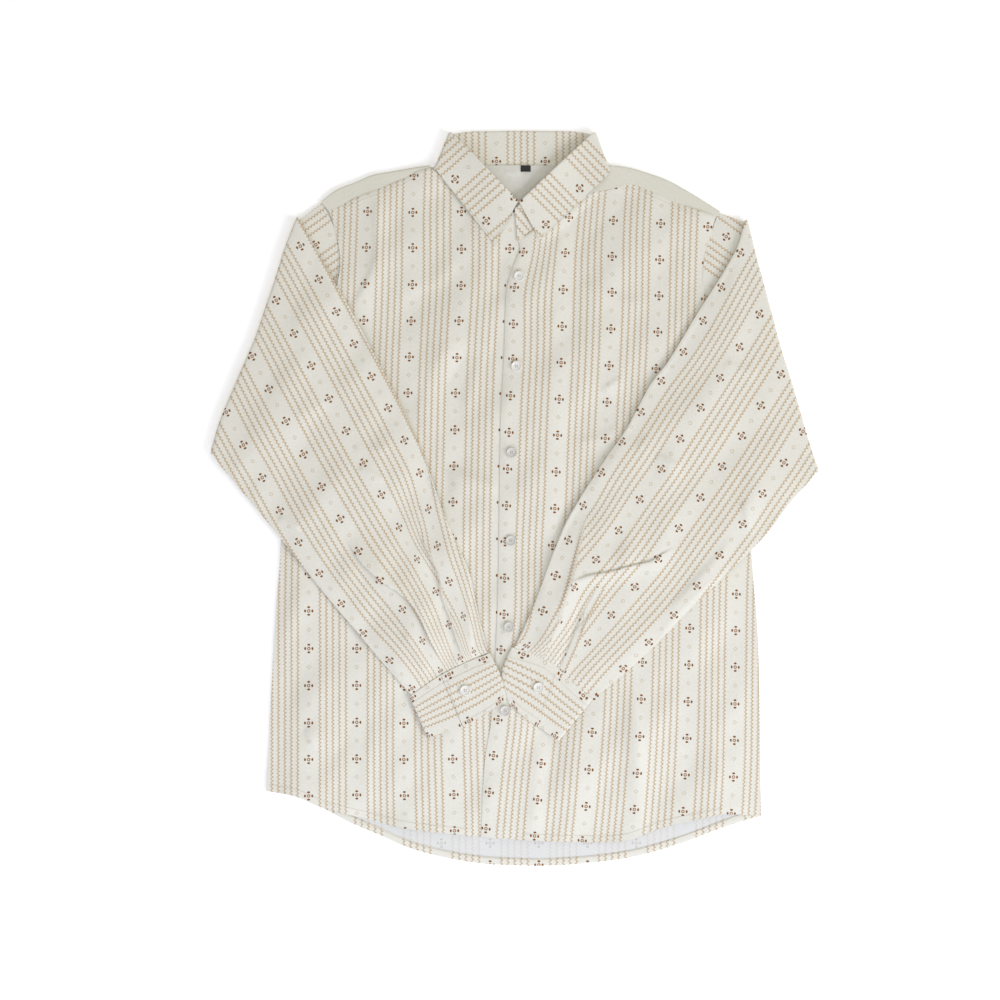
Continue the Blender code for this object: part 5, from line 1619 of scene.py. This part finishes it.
@dataclass
class Collar:
    """The stand, and the leaf that rolls over its edge and turns down outside it."""

    lay: Layout = LAY
    axis_z: float = 4.45
    stand_turn: float = 2.15
    leaf_turn: float = 3.85
    stand_width: float = 35.0
    leaf_width: float = 45.0
    back_bow: float = 3.4
    roll_over: float = 4.2
    roll_puff: float = 5.0
    leaf_edge_z: float = 6.0
    slant: float = 0.925
    front_columns: int = 7
    back_columns: int = 9
    stitches: tuple[Line, ...] = (((-80, 349), (-74, 340), (-55, 319), (-40, 302), (-30, 289), (-22, 281)),
                                  ((-22, 281), (-12, 294), (-3, 308)),
                                  ((97, 348), (94, 340), (80, 325), (72, 319), (50, 301), (35, 287),
                                   (27, 284)))
    halves: tuple[CollarHalf, CollarHalf] = (
        CollarHalf((4, 321), (-71, 395.5), (-21, 274), (-88, 353), ((4, 321), (-19, 298)), -1, PrintMap((
            (0, 0, ((-63.8, 344.3),)), (0, -0.5, ((-49.7, 356.9),)), (1, 0, ((-30.7, 299.7),)),
            (1, -0.5, ((-15.1, 312.4),)), (1, -1, ((-0.3, 324.9),))), 0.05)),
        CollarHalf((5, 320), (88, 395.5), (27, 279), (105, 349), ((0, 317), (3.5, 276)), 1, PrintMap((
            (0, 0, ((70.1, 334.5),)), (0, -0.5, ((55.9, 349.2),)), (-1, 0, ((33.7, 295.8),)),
            (-1, -0.5, ((19.3, 309.4),))), 0.05)))

    BEHIND = (19.5, 364.2)  # mm that bring the print behind the neck to its place

    def fold_limit(self, turn: int) -> float:
        """How far down the side fold a column reaches, clear of the shoulder."""
        return {180: 99.0, 135: 43.0, 90: 36.5, 45: 35.0, 0: 99.0}[turn]

    def roll_rise(self, s: float) -> float:
        """How much the roll stands up at share s from the front end to the side."""
        return self.roll_puff * math.sin(math.pi * min(1.0, 0.12 + 0.88 * s)) ** 0.8

    def half_columns(self, half: CollarHalf, rows: list, begin: Begin, rise: Rise) -> list:
        """Columns of one half, from its front end to the side fold and round it.

        Args:
            half: Which half.
            rows: For each row its share down the fold and its layer, 0 stand or 1 leaf.
            begin: Gives each row's plan point at the front end.
            rise: Gives the height at a point.

        Returns:
            The columns, each a list of points.
        """
        top, tip = np.array(half.side_roll, float), np.array(half.side_tip, float)
        length = np.linalg.norm(tip - top)
        down = (tip - top) / length
        stretch = length / self.leaf_width
        out = np.array([-down[1], down[0]])
        if (out[0] > 0) != (half.side > 0):
            out = -out
        axis_top = top - out * (self.leaf_turn + self.lay.cloth / 2)
        columns = []
        for k in range(self.front_columns):
            s = k / self.front_columns
            column = []
            for row, (distance, _) in enumerate(rows):
                start = begin(half, row)
                x, y = start + (axis_top + down * distance * stretch - start) * s
                column.append((x, y, rise(half, row, s, x, y)))
            columns.append(column)
        for turn in (180, 135, 90, 45, 0):
            a = math.radians(turn)
            column = []
            for distance, layer in rows:
                reach = self.stand_turn + (self.leaf_turn - self.stand_turn) * layer
                kept = min(distance * stretch, self.fold_limit(turn))
                spread = 1.6 if turn == 135 and distance > self.fold_limit(90) else 1.0
                p = axis_top + down * kept + out * reach * math.sin(a) * spread
                column.append((p[0], p[1], self.axis_z - reach * math.cos(a)))
            columns.append(column)
        return columns

    def whole_grid(self, rows: list, begin: Begin, rise: Rise) -> Array:
        """A collar piece all round, as rows, columns, 3."""
        left, right = (self.half_columns(half, rows, begin, rise) for half in self.halves)
        first, last = np.array(left[-1]), np.array(right[-1])
        middle = []
        for k in range(1, self.back_columns):
            column = first + (last - first) * k / self.back_columns
            level = np.array([max(0.0, 1 - d / self.leaf_width) for d, _ in rows])
            column[:, 1] += self.back_bow * math.sin(math.pi * k / self.back_columns) ** 0.3 * level
            middle.append(column)
        columns = [np.array(c) for c in left] + middle + [np.array(c) for c in reversed(right)]
        return np.array(columns).transpose(1, 0, 2)[::-1]

    def stand_grid(self) -> Array:
        """The stand's coarse grid, from its seam up to the roll."""
        rows = [(d / self.slant, 0) for d in (self.roll_over - 0.4, 14, 24, 33.6)]

        def begin(half: CollarHalf, row: int) -> Array:
            roll, seam = (np.asarray(p, float) for p in half.stand_end)
            return roll + (seam - roll) * (rows[row][0] * self.slant) / self.stand_width

        def rise(half: CollarHalf, row: int, s: float, x: float, y: float) -> float:
            down = rows[row][0] * self.slant / self.stand_width
            seam_z = float(self.lay.front_z(x, y) + (self.lay.overlap_lift(x, y) if half.side > 0 else 0))
            top = self.axis_z + self.stand_turn + self.roll_rise(s) * (1 - down) ** 1.3 - 0.7 * (1 - s)
            near_side = float(smooth((s - 0.6) / 0.4))
            seam_z = seam_z * (1 - near_side) + (self.axis_z + self.stand_turn) * near_side
            return top * (1 - down) + seam_z * down

        return self.whole_grid(rows, begin, rise)

    def leaf_grid(self) -> Array:
        """The leaf's coarse grid, over the roll and down to its edge."""
        # each row: mm from the roll, layer 0 stand or 1 leaf, and share of the way to the edge
        table = [(self.roll_over, 0, 0), (1.6, 0, 0), (0.6, 0.5, 0), (1.6, 1, 0), (12, 1, 0.25),
                 (22, 1, 0.5), (33, 1, 0.75), (43.5, 1, 1)]
        rows = [(d, layer) for d, layer, _ in table]

        def begin(half: CollarHalf, row: int) -> Array:
            roll, tip = np.asarray(half.front_roll, float), np.asarray(half.front_tip, float)
            distance, _, part = table[row]
            return roll + (tip - roll) * (part if part else distance / self.leaf_width)

        def rise(half: CollarHalf, row: int, s: float, x: float, y: float) -> float:
            _, layer, part = table[row]
            low = self.axis_z + self.stand_turn + (self.leaf_turn - self.stand_turn) * layer
            near_side = float(smooth((s - 0.55) / 0.45))
            outer = self.leaf_edge_z * (1 - near_side) + (self.axis_z + self.leaf_turn) * near_side
            return low + self.roll_rise(s) * (1 - part) ** 1.3 + (outer - low) * part

        return self.whole_grid(rows, begin, rise)

    def leaf_print(self, grid: Array, columns: Array) -> Array:
        """The leaf's print: each front half by its crosses, the part behind in line with the stand's.

        Args:
            grid: The fine grid.
            columns: Each column's place among the coarse columns.

        Returns:
            Millimetres across and along the print.
        """
        x, y = grid[..., 0], grid[..., 1]
        right = self.halves[0].leaf_print.at(x, y)
        left = self.halves[1].leaf_print.at(x, y)
        turn = self.front_columns + 2.0
        last = 2 * self.front_columns + 5 * 2 + self.back_columns - 2 - turn
        between = np.stack([x + self.BEHIND[0], self.BEHIND[1] - y], axis=2)
        made = np.where((columns < turn)[None, :, None], right, between)
        return np.where((columns > last)[None, :, None], left, made)

    def build(self) -> None:
        """Builds the stand and the leaf."""
        coarse = self.stand_grid()
        grid, columns = evenly(coarse, 19, 221)
        straight = np.stack([grid[..., 0] + self.BEHIND[0], self.BEHIND[1] - grid[..., 1]], axis=2)
        slanted = np.stack([grid[..., 0] * 0.75 + grid[..., 1] * 0.66 + 34,
                            grid[..., 0] * 0.66 - grid[..., 1] * 0.75], axis=2)
        end = coarse.shape[1] - 1 - self.front_columns
        print_at = np.where((columns > end)[None, :, None], slanted, straight)
        stand = cloth_sheet("collar_stand_cloth", grid, print_at, BOTH_SIDES, DOUBLE_WALL)
        finish_piece(stand, Slot.PRINTED, "collar_stand")
        grid, columns = evenly(self.leaf_grid(), 57, 261)
        print_at = self.leaf_print(grid, columns)
        leaf = cloth_sheet("collar_leaf_cloth", grid, print_at, BOTH_SIDES, DOUBLE_WALL)
        finish_piece(leaf, Slot.PRINTED, "collar_leaf")
        stitch_all("collar_stitches", self.stitches, leaf)


# ---------------------------------------- buttons


@dataclass
class Buttons:
    """Four-hole shirt buttons sewn on, one for each button of the frame."""

    cream: tuple = ("button_1", "button_2", "button_cuff_right", "button_cuff_left")
    pearly: tuple = ("button_3", "button_4", "button_5", "button_6")
    radius: float = 5.8
    height: float = 2.2
    around: int = 40
    rim: float = 1.2
    slope: float = 0.9
    dish: float = 0.7  # how deep the middle is sunk
    polish: float = 0.45
    lift: float = 0.25  # how far its underside stands off the cloth
    hole: float = 0.5
    hole_at: float = 1.15 * 1.2 / math.sqrt(2)  # mm from the middle to a hole, across and along
    thread: float = 0.34
    thread_depth: float = 0.55  # how far the thread lies below the rim

    def blank(self) -> Piece:
        """One button at the origin, its underside at height 0."""
        obj = self.cylinder(self.around, self.radius, self.height, (0, 0, self.height / 2))
        bpy.ops.object.transform_apply(location=True, rotation=True, scale=True)
        mesh = obj.data
        top = self.height * MM
        for face in mesh.polygons:
            face.select = face.center.z > top * 0.99
        edit_mode(True)
        bpy.context.tool_settings.mesh_select_mode = (False, False, True)
        bpy.ops.mesh.inset(thickness=self.rim * MM, depth=0)
        bpy.ops.mesh.inset(thickness=self.slope * MM, depth=-self.dish * MM)
        edit_mode(False)
        edges = obj.modifiers.new("Polished", "BEVEL")
        edges.width = self.polish * MM
        edges.segments = 3
        edges.limit_method = "ANGLE"
        edges.angle_limit = math.radians(25)
        bpy.ops.object.modifier_apply(modifier=edges.name)
        for ex, ey in ((1, 1), (-1, 1), (-1, -1), (1, -1)):
            self.drill(obj, ex * self.hole_at, ey * self.hole_at)
        select_only(obj)
        bpy.ops.object.shade_smooth_by_angle(angle=math.radians(40))
        return obj

    @staticmethod
    def cylinder(sides: int, radius: float, depth: float, place: tuple) -> Piece:
        """A new upright cylinder, sizes and place in mm."""
        deselect()
        bpy.ops.mesh.primitive_cylinder_add(vertices=sides, radius=radius * MM, depth=depth * MM,
                                            location=[value * MM for value in place])
        return bpy.context.active_object

    def drill(self, obj: Piece, x: float, y: float) -> None:
        """Cuts one round hole through the button."""
        cutter = self.cylinder(12, self.hole, 8, (x, y, 0))
        select_only(obj)
        cut = obj.modifiers.new("Hole", "BOOLEAN")
        cut.operation = "DIFFERENCE"
        cut.solver = "EXACT"
        cut.object = cutter
        bpy.ops.object.modifier_apply(modifier=cut.name)
        bpy.data.objects.remove(cutter, do_unlink=True)

    def build(self) -> None:
        """Copies the button to every place and sews it on."""
        blank = self.blank()
        for name in self.cream + self.pearly:
            low, high = (np.array(c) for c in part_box(name))
            centre = (low + high) / 2
            under = name.replace("button_", "") if "cuff" in name else "front_left"
            cloth = bpy.data.objects[under + "_cloth"]
            base = (height_on(cloth, *(centre[:2] / MM - TO_CENTRE[:2])) + self.lift) * MM
            obj = blank.copy()
            obj.data = blank.data.copy()
            bpy.context.collection.objects.link(obj)
            obj.name = name + "_pearl"
            obj.data.materials.clear()
            finish = CREAM_BUTTON if name in self.cream else GREY_BUTTON
            obj.data.materials.append(finish.material())
            points = np.empty(len(obj.data.vertices) * 3)
            obj.data.vertices.foreach_get("co", points)
            points = points.reshape(-1, 3) + (centre[0], centre[1], base)
            obj.data.vertices.foreach_set("co", points.ravel())
            obj.data.update()
            finish_piece(obj, Slot.BUTTON, name)
            self.sew(name, centre, base + (self.height - self.thread_depth) * MM)
        bpy.data.objects.remove(blank, do_unlink=True)

    def sew(self, name: str, centre: Array, top: float) -> None:
        """Two bars of thread through the four holes."""
        bars = []
        for sign in (-1, 1):
            deselect()
            bpy.ops.mesh.primitive_uv_sphere_add(
                segments=10, ring_count=8, radius=self.thread * MM,
                location=(centre[0] + sign * self.hole_at * MM, centre[1], top))
            bar = bpy.context.active_object
            bar.scale = (0.9, self.hole_at / self.thread, 0.8)
            bpy.ops.object.transform_apply(location=True, rotation=True, scale=True)
            bpy.ops.object.shade_smooth()
            bars.append(bar)
        deselect()
        for bar in bars:
            bar.select_set(True)
        bpy.context.view_layer.objects.active = bars[0]
        bpy.ops.object.join()
        thread = bpy.context.active_object
        thread.name = name + "_thread"
        thread.data.materials.clear()
        thread.data.materials.append(SewingThread().material())
        finish_piece(thread, Slot.BUTTON)


# ---------------------------------------- studio


@dataclass
class Studio:
    """Pale floor, soft lights and the camera straight above."""

    view_x: float = -15.66
    view_y: float = -1.73
    distance: float = 2.55
    lens: float = 85.0
    sensor: float = 36.0
    world_colour: str = "f6f5f3"
    world_strength: float = 0.41
    lights: tuple[tuple, ...] = (  # name, place and aim in m, size in m, watts, colour
        ("overhead", (0.0, 0.0, 2.9), (0, 0, 0), 2.6, 22.0, "fffcf6"),
        ("key", (2.8, -1.5, 2.0), (0, 0, 0), 1.6, 72.0, "f4f7ff"),
        ("top", (0.4, 2.6, 1.7), (0, 0, 0), 1.2, 9.0, "fffcf4"),
        ("hem", (-0.1, -1.5, 0.9), (0, -0.3, 0), 0.9, 11.5, "d8e2ff"))

    def build(self) -> None:
        """Sets up floor, lights, world and camera."""
        deselect()
        bpy.ops.mesh.primitive_plane_add(size=8, location=(0, 0, -0.0005))
        floor = bpy.context.active_object
        floor.name = "floor"
        bpy.ops.object.transform_apply(location=True, rotation=True, scale=True)
        floor.data.materials.append(PaleFloor().material())
        for light in self.lights:
            self.light(*light)
        world = bpy.context.scene.world or bpy.data.worlds.new("studio")
        bpy.context.scene.world = world
        world.use_nodes = True
        background = world.node_tree.nodes.get("Background") or add_node(world.node_tree,
                                                                         "ShaderNodeBackground")
        background.inputs[0].default_value = to_linear(self.world_colour)
        background.inputs[1].default_value = self.world_strength
        bpy.context.scene.view_settings.view_transform = "Standard"
        self.camera()

    def light(self, name: str, place: tuple, aim: tuple, size: float, power: float, colour: str) -> None:
        """One square soft light aimed at a point."""
        data = bpy.data.lights.new(name, "AREA")
        data.shape = "SQUARE"
        data.size = size
        data.energy = power
        data.color = to_linear(colour)[:3]
        lamp = bpy.data.objects.new(name, data)
        bpy.context.scene.collection.objects.link(lamp)
        lamp.location = place
        direction = np.subtract(aim, place)
        flat = math.hypot(direction[0], direction[1])
        lamp.rotation_euler = (math.atan2(flat, -direction[2]), 0,
                               math.atan2(direction[1], direction[0]) - math.pi / 2)

    def camera(self) -> None:
        """The camera looks straight down with the collar at the top."""
        data = bpy.data.cameras.new("camera")
        data.lens = self.lens
        data.sensor_width = self.sensor
        camera = bpy.data.objects.new("camera", data)
        bpy.context.scene.collection.objects.link(camera)
        camera.location = (self.view_x * MM, self.view_y * MM, self.distance)
        camera.rotation_euler = (0, 0, 0)
        bpy.context.scene.camera = camera


def main() -> None:
    """Builds every piece in the order in which it lies on the table."""
    logging.basicConfig(level=logging.INFO, format="%(message)s")
    BodyPanels().build()
    Yoke().build()
    Collar().build()
    SLEEVE_RIGHT.build()
    SlitBinding().build(SLEEVE_LEFT.build())
    for cuff in CUFFS:
        cuff.build()
    Buttons().build()
    Studio().build()


if __name__ == "__main__":
    main()
